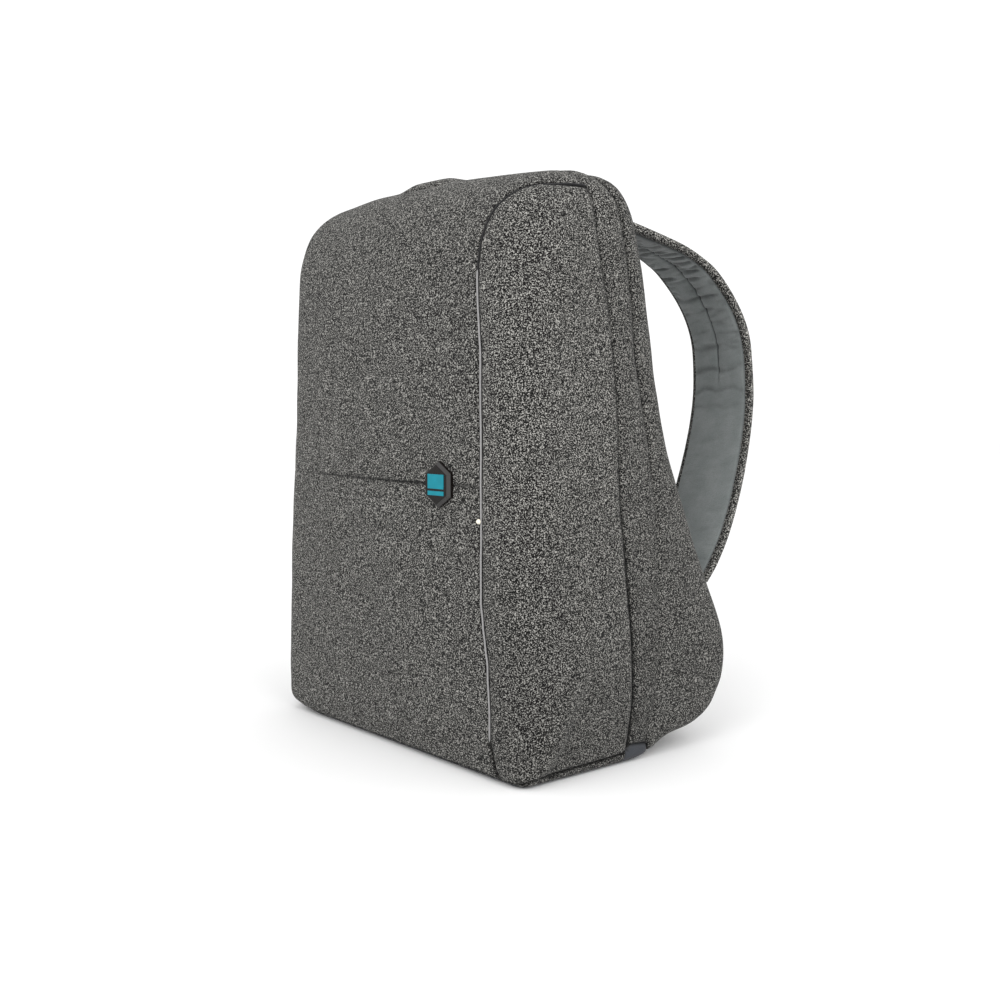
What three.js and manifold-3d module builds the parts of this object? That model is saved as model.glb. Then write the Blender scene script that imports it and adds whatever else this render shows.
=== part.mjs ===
// Anti-theft backpack: sewn cloth walls round an open hollow, padded back with a lumbar swell,
// a piped front opening, a badge, a carry handle and two padded shoulder straps.
// Millimetres, +Z up. The front faces -Y and the straps are at +Y. While it is being built, y = 0 is
// the front face at the floor; the finished bag is then centred over the origin.
import * as THREE from 'three'
import { mergeVertices } from 'three/addons/utils/BufferGeometryUtils.js'
import Module from 'manifold-3d'

// Driving sizes of the bag
const bagHeight = 441
const bagDepth = 217
const bagWidth = 341
const edgeRadius = 38
const frontCrown = 7
const sideCrown = 3
const leftFootWidth = 64
const leftFootHeight = 35

// Foam-backed cloth walls
const paddedWall = 7
const leastBend = 2
const gap = 0.3

// Seams
const frontSeamHeight = 212
const pipingInset = 44
const pipingRadius = 0.9
const pipingTop = 366
const pipingFoot = 30
const archHeight = 426
const leftSeamInset = 13

// Badge and the stud on the piping
const badgeHeight = 34
const badgeWidth = 26
const badgeThickness = 4.5
const badgeBevel = 1.4
const badgeX = 78
const tileWidth = 17
const tileHeight = 11
const tileBarHeight = 3.2
const tileSpacing = 1.8
const tileThickness = 0.7
const studRadius = 1.9
const studThickness = 1.2
const studHeight = 188

// Carry handle
const handleSpan = 76
const handleWidth = 22
const handleThickness = 3.6
const handleRise = 0.4
const handleY = 46

// Shoulder straps
const strapWidth = 70
const strapThickness = 8.5
const strapReach = 182
const strapDrop = 282
const strapRootHeight = 409.5
const strapRootX = 60
const strapFlare = 52
const liningThickness = 2
const liningProud = 0.7
const liningBorder = 7

// Lower webbing and its adjuster
const webbingWidth = 25
const webbingThickness = 1.8
const webbingFoot = 30
const sewnIn = 5
const adjusterWidth = 34
const adjusterHeight = 24
const adjusterThickness = 4
const adjusterRim = 4
const adjusterBar = 5
const adjusterZ = 80

// Colours from the photograph
const melange = new THREE.MeshStandardMaterial({ color: 0x605f5b, roughness: 0.95, metalness: 0 })
const coated = new THREE.MeshStandardMaterial({ color: 0x2b2f36, roughness: 0.6, metalness: 0 })
const lining = new THREE.MeshStandardMaterial({ color: 0x7f8685, roughness: 0.9, metalness: 0 })
const reflective = new THREE.MeshStandardMaterial({ color: 0xa9a8a6, roughness: 0.4, metalness: 0 })
const gloss = new THREE.MeshStandardMaterial({ color: 0x0c0d0f, roughness: 0.15, metalness: 0 })
const teal = new THREE.MeshStandardMaterial({ color: 0x1fa9b8, roughness: 0.35, metalness: 0 })
const stud = new THREE.MeshStandardMaterial({ color: 0xe9e3cf, roughness: 0.4, metalness: 0 })
const webbing = new THREE.MeshStandardMaterial({ color: 0x1b1c1e, roughness: 0.85, metalness: 0 })
const plastic = new THREE.MeshStandardMaterial({ color: 0x141517, roughness: 0.5, metalness: 0 })

// Outline of the bag seen from its right side, up the front, over the top and down the back.
// depth and height are shares of the bag's, radius and crown of the edge radius and the front crown,
// width of half the bag's width, and wall of the padded wall.
const outlineRows = [
  // depth, height, radius, crown, width, wall
  [0.014, 0.0, 0.2, 0.0, 0.928, 0.78],
  [-0.011, 0.009, 0.42, 0.0, 0.95, 0.9],
  [-0.02, 0.041, 0.78, 0.14, 0.978, 1.0],
  [-0.023, 0.102, 0.95, 0.43, 1.0, 1.0],
  [-0.028, 0.227, 1.0, 0.86, 0.985, 1.0],
  [-0.028, 0.385, 1.0, 1.0, 0.962, 1.0],
  [-0.023, 0.544, 1.0, 1.0, 0.932, 1.0],
  [-0.018, 0.692, 1.0, 0.86, 0.916, 1.0],
  [-0.009, 0.805, 1.0, 0.71, 0.915, 1.0],
  [0.009, 0.88, 1.02, 0.71, 0.918, 1.0],
  [0.055, 0.939, 1.05, 0.71, 0.916, 1.0],
  [0.138, 0.977, 1.1, 0.71, 0.909, 1.0],
  [0.258, 0.995, 1.1, 0.43, 0.909, 1.0],
  [0.387, 1.0, 1.0, 0.29, 0.909, 1.0],
  [0.488, 0.982, 0.74, 0.29, 0.912, 1.0],
  [0.548, 0.934, 0.58, 0.14, 0.915, 1.0],
  [0.591, 0.853, 0.53, 0.0, 0.917, 1.0],
  [0.636, 0.744, 0.53, 0.0, 0.915, 0.86],
  [0.67, 0.646, 0.53, 0.0, 0.918, 0.86],
  [0.71, 0.544, 0.53, 0.0, 0.932, 0.86],
  [0.785, 0.449, 0.53, 0.0, 0.948, 0.86],
  [0.867, 0.345, 0.53, 0.0, 0.968, 0.86],
  [0.951, 0.254, 0.53, 0.0, 0.982, 0.86],
  [0.998, 0.181, 0.53, 0.0, 0.992, 0.86],
  [0.99, 0.113, 0.58, 0.0, 0.995, 0.86],
  [0.935, 0.063, 0.58, 0.0, 0.985, 0.86],
  [0.829, 0.036, 0.47, 0.0, 0.974, 0.9],
  [0.682, 0.026, 0.32, 0.0, 0.962, 0.85],
  [0.53, 0.0, 0.16, 0.0, 0.94, 0.78],
]

// Seams seen from the side, as shares of the bag's depth and height, from the floor up
const rearSeamRows = [
  // depth, height
  [0.47, 0.03], [0.466, 0.113], [0.456, 0.2], [0.429, 0.317], [0.406, 0.44], [0.408, 0.59],
  [0.4, 0.68], [0.382, 0.755], [0.355, 0.834], [0.33, 0.905], [0.327, 0.96],
]
const grooveRows = [
  [0.55, 0.03], [0.575, 0.1], [0.585, 0.18], [0.583, 0.32], [0.576, 0.447], [0.562, 0.553], [0.54, 0.62],
  [0.512, 0.685], [0.495, 0.77], [0.476, 0.85], [0.45, 0.907], [0.425, 0.955],
]
// Lower edge of the cloth walls, up to which the coated base reaches
const baseSeamRows = [
  [0.01, 0.0095], [0.03, 0.0145], [0.12, 0.0155], [0.28, 0.0172], [0.45, 0.0195], [0.49, 0.032],
  [0.565, 0.029], [0.605, -0.01],
]
// Right seam of the front opening seen from the front: how far in from the bag's side it runs, as a
// share of the piping's inset, at a share of the arch's height
const openingRows = [
  // height, inset
  [0.0, 0.55], [0.02, 0.74], [0.07, 0.98], [0.12, 1.0], [0.2, 1.0], [0.3, 1.07], [0.45, 1.0],
  [0.6, 0.93], [0.72, 0.92], [0.859, 1.05], [0.9, 1.05], [0.932, 0.99], [0.955, 0.92],
  [0.972, 0.79], [0.988, 0.62], [0.997, 0.48],
]

// Middle of a strap from its root in the back to its lower end, seen from the side: reach and drop are
// shares of the strap's, flare of the way out from the root, twist is in degrees
const strapRows = [
  // reach, drop, flare, twist, width, thickness
  [-0.03, 0.0, 0.0, 0, 1.0, 0.8],
  [0.152, -0.022, 0.0, -2, 1.0, 0.95],
  [0.287, -0.018, 0.02, -4, 1.0, 1.0],
  [0.433, 0.0, 0.08, -6, 1.0, 1.0],
  [0.601, 0.03, 0.16, -6, 1.0, 1.0],
  [0.713, 0.063, 0.22, -6, 1.0, 1.0],
  [0.798, 0.103, 0.28, -6, 1.0, 1.0],
  [0.913, 0.187, 0.35, -6, 1.0, 1.0],
  [0.978, 0.272, 0.41, -6, 1.0, 1.0],
  [1.0, 0.36, 0.45, -6, 1.0, 1.0],
  [0.983, 0.493, 0.52, -4, 1.0, 1.0],
  [0.916, 0.624, 0.61, -2, 1.0, 1.0],
  [0.817, 0.755, 0.71, 0, 1.0, 1.0],
  [0.697, 0.876, 0.83, 1, 0.98, 0.92],
  [0.6, 0.953, 0.92, 2, 0.92, 0.84],
  [0.53, 1.007, 1.0, 2, 0.8, 0.56],
]

const floorWall = outlineRows[0][5] * paddedWall
const outside = 2 * Math.max(bagWidth, bagDepth, bagHeight)
const sharpTurn = 13
const flatStations = [0, 0.45, 0.8, 1]
const turnSteps = 4
const footSteps = 5
const padCorners = 12
const bandCorners = 8
const studSides = 12
const capShares = [0.8, 0.55, 0.28]

const wasm = await Module()
wasm.setup()

// Smooth curve through rows of numbers: sample(t) gives a row anywhere between the first and the last
function rowCurve(rows, closed) {
  const count = rows[0].length
  const curves = []
  for (let c = 0; c < count; c += 2) {
    const points = rows.map(row => new THREE.Vector3(row[c], c + 1 < count ? row[c + 1] : 0, 0))
    curves.push(new THREE.CatmullRomCurve3(points, closed, closed ? 'centripetal' : 'catmullrom', 0.5))
  }
  return t => curves.flatMap(curve => curve.getPoint(t).toArray().slice(0, 2)).slice(0, count)
}

// Closed mesh through rings of equal length, with a fan over each end
function loft(rings) {
  const size = rings[0].length
  const points = rings.flat()
  const first = points.push(average(rings[0])) - 1
  const last = points.push(average(rings[rings.length - 1])) - 1
  const index = []
  for (let j = 0; j + 1 < rings.length; j++) {
    for (let i = 0; i < size; i++) {
      const a = j * size + i
      const b = j * size + (i + 1) % size
      index.push(a, a + size, b, b, a + size, b + size)
    }
  }
  const end = (rings.length - 1) * size
  for (let i = 0; i < size; i++) {
    const next = (i + 1) % size
    index.push(first, i, next, last, end + next, end + i)
  }
  const geometry = new THREE.BufferGeometry()
  geometry.setAttribute('position', new THREE.Float32BufferAttribute(points.flatMap(p => [p.x, p.y, p.z]), 3))
  geometry.setIndex(index)
  return geometry
}

function average(ring) {
  return ring.reduce((sum, p) => sum.add(p), new THREE.Vector3()).divideScalar(ring.length)
}

// A closed geometry as a solid that can be joined and cut, turned right side out where it has to be
function solid(geometry) {
  const bare = geometry.clone()
  bare.deleteAttribute('normal')
  bare.deleteAttribute('uv')
  const merged = mergeVertices(bare, 1e-4)
  const index = Array.from(merged.index.array)
  if (signedVolume(merged, index) < 0) {
    for (let i = 0; i < index.length; i += 3) [index[i + 1], index[i + 2]] = [index[i + 2], index[i + 1]]
  }
  return new wasm.Manifold(new wasm.Mesh({
    numProp: 3,
    vertProperties: Float32Array.from(merged.attributes.position.array),
    triVerts: Uint32Array.from(index),
  }))
}

function signedVolume(geometry, index) {
  const position = geometry.attributes.position
  const [a, b, c] = [new THREE.Vector3(), new THREE.Vector3(), new THREE.Vector3()]
  let volume = 0
  for (let i = 0; i < index.length; i += 3) {
    a.fromBufferAttribute(position, index[i])
    b.fromBufferAttribute(position, index[i + 1])
    c.fromBufferAttribute(position, index[i + 2])
    volume += a.dot(b.cross(c))
  }
  return volume
}

function meshOf(name, manifold, material) {
  const data = manifold.getMesh()
  const geometry = new THREE.BufferGeometry()
  geometry.setAttribute('position', new THREE.Float32BufferAttribute(data.vertProperties, 3))
  geometry.setIndex(Array.from(data.triVerts))
  geometry.computeVertexNormals()
  const mesh = new THREE.Mesh(geometry, material)
  mesh.name = name
  return mesh
}

// The bag's outline at share t of its way round, flat where it stands on the floor
const smoothOutline = rowCurve(outlineRows, true)
function outlineCurve(t) {
  const [depth, height, ...rest] = smoothOutline(t)
  return [depth, Math.max(height, 0), ...rest]
}
// The same place in real sizes, with the outward direction
function outlineAt(t) {
  const [depth, height, radius, crown, width, wall] = outlineCurve(t)
  const step = 1e-3
  const ahead = outlineCurve((t + step) % 1)
  const behind = outlineCurve((t - step + 1) % 1)
  const along = new THREE.Vector2((ahead[0] - behind[0]) * bagDepth, (ahead[1] - behind[1]) * bagHeight)
    .normalize()
  return {
    y: depth * bagDepth,
    z: height * bagHeight,
    outY: -along.y,
    outZ: along.x,
    radius: radius * edgeRadius,
    crown: crown * frontCrown,
    half: width * bagWidth / 2,
    wall: wall * paddedWall,
  }
}

// A place on the bag's surface, or a distance inside it, at x from the middle on a row of the outline
function surfacePoint(row, x, inset) {
  const flat = row.half - row.radius
  const beyond = Math.max(Math.abs(x) - flat, 0)
  const crown = row.crown * (1 - Math.min(Math.abs(x) / flat, 1) ** 2)
  const turned = row.radius - Math.sqrt(Math.max(row.radius ** 2 - beyond ** 2, 0))
  const depth = inset - crown + turned
  return new THREE.Vector3(x, row.y - row.outY * depth, row.z - row.outZ * depth)
}

// Every row of the outline, and the place halfway to the next one where the outline turns sharply
function outlineStations() {
  const shareOf = place => place / outlineRows.length
  const directionAt = place => {
    const { outY, outZ } = outlineAt(shareOf(place % outlineRows.length))
    return new THREE.Vector2(outY, outZ)
  }
  return outlineRows.flatMap((_, i) => {
    const turn = THREE.MathUtils.radToDeg(directionAt(i).angleTo(directionAt(i + 1)))
    return turn > sharpTurn ? [i, i + 0.5] : [i]
  }).map(shareOf)
}

// The bag's left foot is rounded under, as stuffed cloth is: it rises from this far out to the side
function footStartX() {
  return halfWidthAt(leftFootHeight) + sideCrown - leftFootWidth
}
// Everything below and beside the left foot, grown into it by an inset
function besideLeftFoot(inset) {
  const arc = Array.from({ length: footSteps + 1 }, (_, i) => {
    const angle = i / footSteps * Math.PI / 2
    return [-footStartX() - Math.sin(angle) * (leftFootWidth - inset),
      leftFootHeight - Math.cos(angle) * (leftFootHeight - inset)]
  })
  return prism([[arc[0][0], -outside], ...arc, [-outside, leftFootHeight], [-outside, -outside]],
    'y', -outside, outside)
}

// The bag as one closed body, drawn inside its outer surface by a distance that each row gives
function bagBody(insetOf) {
  const rows = outlineStations().map(outlineAt).map(row => {
    const inset = insetOf(row.wall)
    return { ...row, inset, bend: Math.max(row.radius, inset + leastBend) }
  })
  const half = flatStations.map(share =>
    rows.map(row => surfacePoint(row, share * (row.half - row.bend), row.inset)))
  for (let step = 1; step <= turnSteps; step++) {
    const angle = step / turnSteps * Math.PI / 2
    half.push(rows.map(row => {
      const turn = row.bend - row.inset
      const depth = row.bend - Math.cos(angle) * turn
      const x = row.half - row.bend + Math.sin(angle) * turn
      return new THREE.Vector3(x, row.y - row.outY * depth, row.z - row.outZ * depth)
    }))
  }
  const rim = half[half.length - 1]
  const middle = average(rim)
  for (const share of capShares) {
    half.push(rim.map((p, i) => {
      const z = middle.z + (p.z - middle.z) * share
      const inset = THREE.MathUtils.lerp(insetOf(paddedWall), rows[i].inset, share)
      const x = halfWidthAt(z) - inset + sideCrown * (1 - share * share)
      return new THREE.Vector3(x, middle.y + (p.y - middle.y) * share, z)
    }))
  }
  const mirrored = half.slice(1).reverse().map(ring => ring.map(p => new THREE.Vector3(-p.x, p.y, p.z)))
  return solid(loft([...mirrored, ...half])).subtract(besideLeftFoot(insetOf(floorWall)))
}

// Share of the way round the outline at which a rising or falling stretch of it reaches a value
function findOnOutline(read, value, from, to) {
  const rising = read(outlineAt(to)) > read(outlineAt(from))
  let [low, high] = [from, to]
  for (let i = 0; i < 40; i++) {
    const middle = (low + high) / 2
    if ((read(outlineAt(middle)) < value) === rising) low = middle
    else high = middle
  }
  return (low + high) / 2
}
// The outline's rows by name: up the front, back over the top, and down the lumbar swell
const frontStretch = [0.03, 12 / outlineRows.length]
const topStretch = [11 / outlineRows.length, 13 / outlineRows.length]
const lumbarStretch = [20 / outlineRows.length, 26 / outlineRows.length]
function frontRowAt(z) {
  return outlineAt(findOnOutline(row => row.z, z, ...frontStretch))
}
function halfWidthAt(z) {
  return frontRowAt(z).half
}

// A prism with its outline in (y, z), reaching across the bag, or in (x, z), reaching through its depth
function prism(points, axis, from, to) {
  const shape = new THREE.Shape(points.map(([a, b]) => new THREE.Vector2(a, b)))
  const geometry = new THREE.ExtrudeGeometry(shape, { depth: to - from, bevelEnabled: false })
  const [alongX, alongY, alongZ] = [[1, 0, 0], [0, 1, 0], [0, 0, 1]].map(p => new THREE.Vector3(...p))
  geometry.applyMatrix4(axis === 'x'
    ? new THREE.Matrix4().makeBasis(alongY, alongZ, alongX)
    : new THREE.Matrix4().makeBasis(alongX, alongZ, alongY.negate()))
  geometry.translate(axis === 'x' ? from : 0, axis === 'x' ? 0 : to, 0)
  return solid(geometry)
}

// Seam lines in real sizes, moved sideways by a distance to leave half the gap on either side
function seamFromSide(rows, shift) {
  return rows.map(([depth, height]) => [depth * bagDepth + shift, height * bagHeight])
}
function baseSeam(shift) {
  return baseSeamRows.map(([depth, height]) => [depth * bagDepth, height * bagHeight + shift])
}
function openingX(row) {
  const [height, inset] = row
  return halfWidthAt(height * archHeight) - inset * pipingInset
}
function seamXAt(z) {
  const height = z / archHeight
  const next = openingRows.findIndex(row => row[0] > height)
  const [low, high] = [openingRows[next - 1], openingRows[next]]
  return THREE.MathUtils.lerp(openingX(low), openingX(high), (height - low[0]) / (high[0] - low[0]))
}
// The left seam runs round the corner, out of the front view, until the arch carries it inwards
function leftX(row) {
  const z = row[0] * archHeight
  const footX = footStartX() + (leftFootWidth - paddedWall) * Math.max(z / leftFootHeight, 0) ** 2 - 2 * gap
  return Math.min(Math.max(openingX(row), halfWidthAt(z) - leftSeamInset), footX)
}

// Everything between two heights-against-depth lines: in front of, or behind, a seam seen from the side
function behindSeam(rows, shift) {
  const line = seamFromSide(rows, shift)
  const [firstY] = line[0]
  const [lastY] = line[line.length - 1]
  const behind = [[outside, -outside], [outside, outside], [lastY, outside]]
  return prism([...behind, ...line.reverse(), [firstY, -outside]], 'x', -outside, outside)
}
function aboveBase(shift) {
  const line = baseSeam(shift)
  const firstZ = line[0][1]
  const lastZ = line[line.length - 1][1]
  return prism([[-outside, firstZ], ...line, [outside, lastZ], [outside, outside], [-outside, outside]],
    'x', -outside, outside)
}
// Outside the front opening's seam on one side, and below the arch
function besideOpening(side, shift) {
  const place = side > 0 ? openingX : leftX
  const line = openingRows.map(row => [side * (place(row) + shift), row[0] * archHeight])
  const top = archHeight - shift
  const foot = [line[0][0], -outside]
  const corner = [line[line.length - 1][0] + side * gap, top]
  const beside = [[side * outside, top], [side * outside, -outside]]
  return prism([foot, ...line, corner, ...beside], 'y', -outside, outside)
}
function belowHeight(z) {
  return prism([[-outside, -outside], [outside, -outside], [outside, z], [-outside, z]], 'x', -outside, outside)
}

const half = gap / 2
const shell = bagBody(() => 0).subtract(bagBody(wall => wall))
const grownBag = bagBody(() => -gap)
const walls = shell.intersect(aboveBase(half))
const frontHalf = walls.subtract(behindSeam(rearSeamRows, -half))
const rearHalf = walls.intersect(behindSeam(rearSeamRows, half))
const gusset = rearHalf.subtract(behindSeam(grooveRows, -half))
const frontPanel = frontHalf.subtract(besideOpening(1, -half)).subtract(besideOpening(-1, -half))
const leftHalf = prism([[-outside, -outside], [-half, -outside], [-half, outside], [-outside, outside]],
  'y', -outside, outside)
const gussetTopHeight = archHeight - edgeRadius

const pieces = []
function add(name, manifold, material) {
  pieces.push(meshOf(name, manifold, material))
}

function addWalls() {
  add('front_panel_lower', frontPanel.intersect(belowHeight(frontSeamHeight - half)), melange)
  add('front_panel_upper', frontPanel.subtract(belowHeight(frontSeamHeight + half)), melange)
  add('side_panel_right', frontHalf.intersect(besideOpening(1, half)), melange)
  add('side_panel_left', frontHalf.intersect(besideOpening(-1, half)), melange)
  const gussetSides = gusset.intersect(belowHeight(gussetTopHeight - half))
  add('gusset_left', gussetSides.intersect(leftHalf), melange)
  add('gusset_right', gussetSides.subtract(leftHalf), melange)
  add('gusset_top', gusset.subtract(belowHeight(gussetTopHeight + half)), melange)
  add('back_panel', rearHalf.intersect(behindSeam(grooveRows, half)), melange)
  add('base_panel', shell.subtract(aboveBase(-half)), coated)
}

// The piping lies on the seam of the front opening, from its foot to where the arch begins
function addPiping() {
  const steps = 22
  const points = []
  for (let i = 0; i <= steps; i++) {
    const z = THREE.MathUtils.lerp(pipingFoot, pipingTop, i / steps)
    points.push(surfacePoint(frontRowAt(z), seamXAt(z), -gap - pipingRadius))
  }
  const section = new THREE.Shape(new THREE.EllipseCurve(0, 0, pipingRadius, pipingRadius).getPoints(6))
  const path = new THREE.CatmullRomCurve3(points)
  add('piping_right', solid(new THREE.ExtrudeGeometry(section, { steps, extrudePath: path })), reflective)

  const seat = surfacePoint(frontRowAt(studHeight), seamXAt(studHeight), -2 * gap - 2 * pipingRadius)
  const disc = new THREE.CylinderGeometry(studRadius, studRadius * 0.8, studThickness, studSides)
  disc.translate(seat.x, seat.y - studThickness / 2, seat.z)
  add('piping_stud', solid(disc), stud)
}

// A pointed hexagon with a bevelled rim, and two plain teal fields on its face
function addBadge() {
  const row = frontRowAt(frontSeamHeight)
  const seat = surfacePoint(row, badgeX, 0)
  const beside = surfacePoint(row, badgeX + 1, 0)
  const turn = Math.atan2(beside.y - seat.y, beside.x - seat.x)
  const place = geometry => {
    geometry.rotateX(Math.PI / 2)
    geometry.rotateZ(turn)
    geometry.translate(seat.x, seat.y - gap, seat.z)
    return solid(geometry)
  }
  const reach = badgeHeight / 2 - badgeBevel
  const across = (badgeWidth / 2 - badgeBevel) / Math.cos(Math.PI / 6)
  const outline = Array.from({ length: 6 }, (_, i) => {
    const angle = (i + 0.5) * Math.PI / 3
    return new THREE.Vector2(across * Math.cos(angle), reach * Math.sin(angle))
  })
  const plate = new THREE.ExtrudeGeometry(new THREE.Shape(outline), {
    depth: badgeThickness - badgeBevel,
    bevelThickness: badgeBevel,
    bevelSize: badgeBevel,
    bevelSegments: 1,
  })
  const backOff = new THREE.BoxGeometry(2 * badgeHeight, 2 * badgeHeight, 2 * badgeBevel)
  backOff.translate(0, 0, -badgeBevel)
  add('badge', place(plate).subtract(place(backOff)), gloss)

  const face = badgeThickness + gap
  const fields = tileHeight + tileSpacing + tileBarHeight
  const bars = [['badge_tile', tileHeight, fields / 2 - tileHeight / 2],
    ['badge_bar', tileBarHeight, tileBarHeight / 2 - fields / 2]]
  for (const [name, height, middle] of bars) {
    const field = new THREE.BoxGeometry(tileWidth, height, tileThickness)
    field.translate(0, middle, face + tileThickness / 2)
    add(name, place(field), teal)
  }
}

// Ring of a flat band with rounded edges, width across and thickness through, a multiple of four corners
function bandRing(centre, across, through, width, thickness, corners) {
  const round = thickness / 2 / Math.cos(Math.PI / corners)
  return Array.from({ length: corners }, (_, i) => {
    const angle = (i + 0.5) / corners * 2 * Math.PI
    const x = Math.sign(Math.cos(angle)) * (width - thickness) / 2 + Math.cos(angle) * round
    return centre.clone().addScaledVector(across, x).addScaledVector(through, Math.sin(angle) * round)
  })
}

// The handle is a low padded band on top, sewn down at both ends
function addHandle() {
  const row = outlineAt(findOnOutline(r => r.y, handleY, ...topStretch))
  const through = new THREE.Vector3(0, row.outY, row.outZ)
  const across = new THREE.Vector3(0, row.outZ, -row.outY)
  const rings = []
  const steps = 14
  for (let i = 0; i <= steps; i++) {
    const share = 2 * i / steps - 1
    const lift = Math.min((1 - share * share) * 3, 1)
    const thickness = handleThickness * (0.45 + 0.55 * lift)
    const seat = surfacePoint(row, share * handleSpan / 2, -2 * gap - thickness / 2 - handleRise * lift)
    rings.push(bandRing(seat, across, through, handleWidth, thickness, bandCorners))
  }
  add('carry_handle', solid(loft(rings)).subtract(grownBag), melange)
}

// One shoulder strap: its path from the root in the back, out and down to its lower end
const strapCurve = rowCurve(strapRows, false)
const backRootY = outlineAt(findOnOutline(row => row.z, strapRootHeight, 15 / outlineRows.length,
  18 / outlineRows.length)).y
function strapAt(side, t) {
  const [reach, drop, flare, twist, width, thickness] = strapCurve(t)
  return {
    centre: new THREE.Vector3(side * (strapRootX + flare * strapFlare), backRootY + reach * strapReach,
      strapRootHeight - drop * strapDrop),
    twist: THREE.MathUtils.degToRad(twist),
    width: width * strapWidth,
    thickness: thickness * strapThickness,
  }
}
function strapFrame(side, t) {
  const here = strapAt(side, t)
  const step = 1e-3
  const along = strapAt(side, Math.min(t + step, 1)).centre.sub(strapAt(side, Math.max(t - step, 0)).centre)
  const outward = new THREE.Vector3(0, -along.z, along.y).normalize()
  const x = new THREE.Vector3(side, 0, 0)
  const across = x.multiplyScalar(Math.cos(here.twist)).addScaledVector(outward, Math.sin(here.twist))
  outward.multiplyScalar(Math.cos(here.twist))
    .addScaledVector(new THREE.Vector3(side, 0, 0), -Math.sin(here.twist))
  return { ...here, across, outward }
}

function addStrap(side, hand) {
  const steps = 24
  const [padding, skin, seat] = [[], [], []]
  for (let i = 0; i <= steps; i++) {
    const f = strapFrame(side, i / steps)
    const padCentre = f.centre.clone().addScaledVector(f.outward, liningProud / 2)
    padding.push(bandRing(padCentre, f.across, f.outward, f.width, f.thickness - liningProud, padCorners))
    const skinCentre = f.centre.clone().addScaledVector(f.outward, (liningThickness - f.thickness) / 2)
    const skinWidth = f.width - 2 * liningBorder
    skin.push(bandRing(skinCentre, f.across, f.outward, skinWidth, liningThickness, bandCorners))
    const [seatWidth, seatThickness] = [skinWidth + 2 * gap, liningThickness + 2 * gap]
    seat.push(bandRing(skinCentre, f.across, f.outward, seatWidth, seatThickness, bandCorners))
  }
  const { outward } = strapFrame(side, 1)
  const down = new THREE.Vector3(0, outward.z, -outward.y)
  seat.push(seat[steps].map(p => p.clone().addScaledVector(down, liningThickness)))
  const recess = solid(loft(seat))
  add('shoulder_strap_' + hand, solid(loft(padding)).subtract(recess).subtract(grownBag), melange)
  add('strap_lining_' + hand, solid(loft(skin)).subtract(grownBag), lining)
}

// The webbing leaves the strap's lower end, lies on the lumbar swell and is sewn in near the floor
function addWebbing(side, hand) {
  const end = strapFrame(side, 1)
  const seat = webbingThickness / 2 + 2 * gap
  const x = side * (strapRootX + strapFlare)
  const lie = z => {
    const row = outlineAt(findOnOutline(r => r.z, z, ...lumbarStretch))
    return { point: surfacePoint(row, x, -seat), outward: new THREE.Vector3(0, row.outY, row.outZ) }
  }
  const down = new THREE.Vector3(0, end.outward.z, -end.outward.y)
  const start = end.centre.clone().addScaledVector(down, webbingThickness)
  const lowest = lie(webbingFoot)
  const stations = [start, ...[0.74, 0.6, 0.45, 0.3, 0.15].map(share =>
    lie(THREE.MathUtils.lerp(webbingFoot, start.z, share)).point), lowest.point,
    lowest.point.clone().addScaledVector(lowest.outward, -sewnIn).add(new THREE.Vector3(0, 0, -sewnIn))]
  const path = new THREE.CatmullRomCurve3(stations)
  const rings = []
  const steps = 16
  for (let i = 0; i <= steps; i++) {
    const along = path.getTangent(i / steps)
    const outward = new THREE.Vector3(0, -along.z, along.y).normalize()
    const across = new THREE.Vector3(1, 0, 0)
    rings.push(bandRing(path.getPoint(i / steps), across, outward, webbingWidth, webbingThickness, bandCorners))
  }
  add('lower_webbing_' + hand, solid(loft(rings)).subtract(grownBag), webbing)

  const rest = lie(adjusterZ)
  const centre = rest.point.addScaledVector(rest.outward, (webbingThickness + adjusterThickness) / 2 + 2 * gap)
  const up = new THREE.Vector3(0, -rest.outward.z, rest.outward.y)
  const basis = new THREE.Matrix4().makeBasis(new THREE.Vector3(1, 0, 0), rest.outward, up).setPosition(centre)
  const block = (width, height, depth, z) => {
    const box = new THREE.BoxGeometry(width, depth, height)
    box.translate(0, 0, z)
    return solid(box.applyMatrix4(basis))
  }
  const slotHeight = (adjusterHeight - 2 * adjusterRim - adjusterBar) / 2
  const slotZ = (adjusterBar + slotHeight) / 2
  const slotWidth = adjusterWidth - 2 * adjusterRim
  const frame = block(adjusterWidth, adjusterHeight, adjusterThickness, 0)
    .subtract(block(slotWidth, slotHeight, 2 * adjusterThickness, slotZ))
    .subtract(block(slotWidth, slotHeight, 2 * adjusterThickness, -slotZ))
  add('strap_adjuster_' + hand, frame, plastic)
}

addWalls()
addPiping()
addBadge()
addHandle()
for (const [side, hand] of [[1, 'right'], [-1, 'left']]) {
  addStrap(side, hand)
  addWebbing(side, hand)
}

const backpack = new THREE.Group()
backpack.add(...pieces)
const box = new THREE.Box3().setFromObject(backpack)
const middle = box.getCenter(new THREE.Vector3())
backpack.position.set(-middle.x, -middle.y, -box.min.z)
export default backpack
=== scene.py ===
"""Looks of the anti-theft backpack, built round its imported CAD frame. Metres, +Z up, front towards -Y.

The bag's skin is drawn from the same tables as the CAD part, swelled a little by a cloth simulation,
cut along its seams, and rolled in along them. Lengths are in millimetres until place() puts them in
the frame.
"""

import math

import bpy
import numpy as np
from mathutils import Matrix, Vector, noise
from mathutils.kdtree import KDTree


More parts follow.
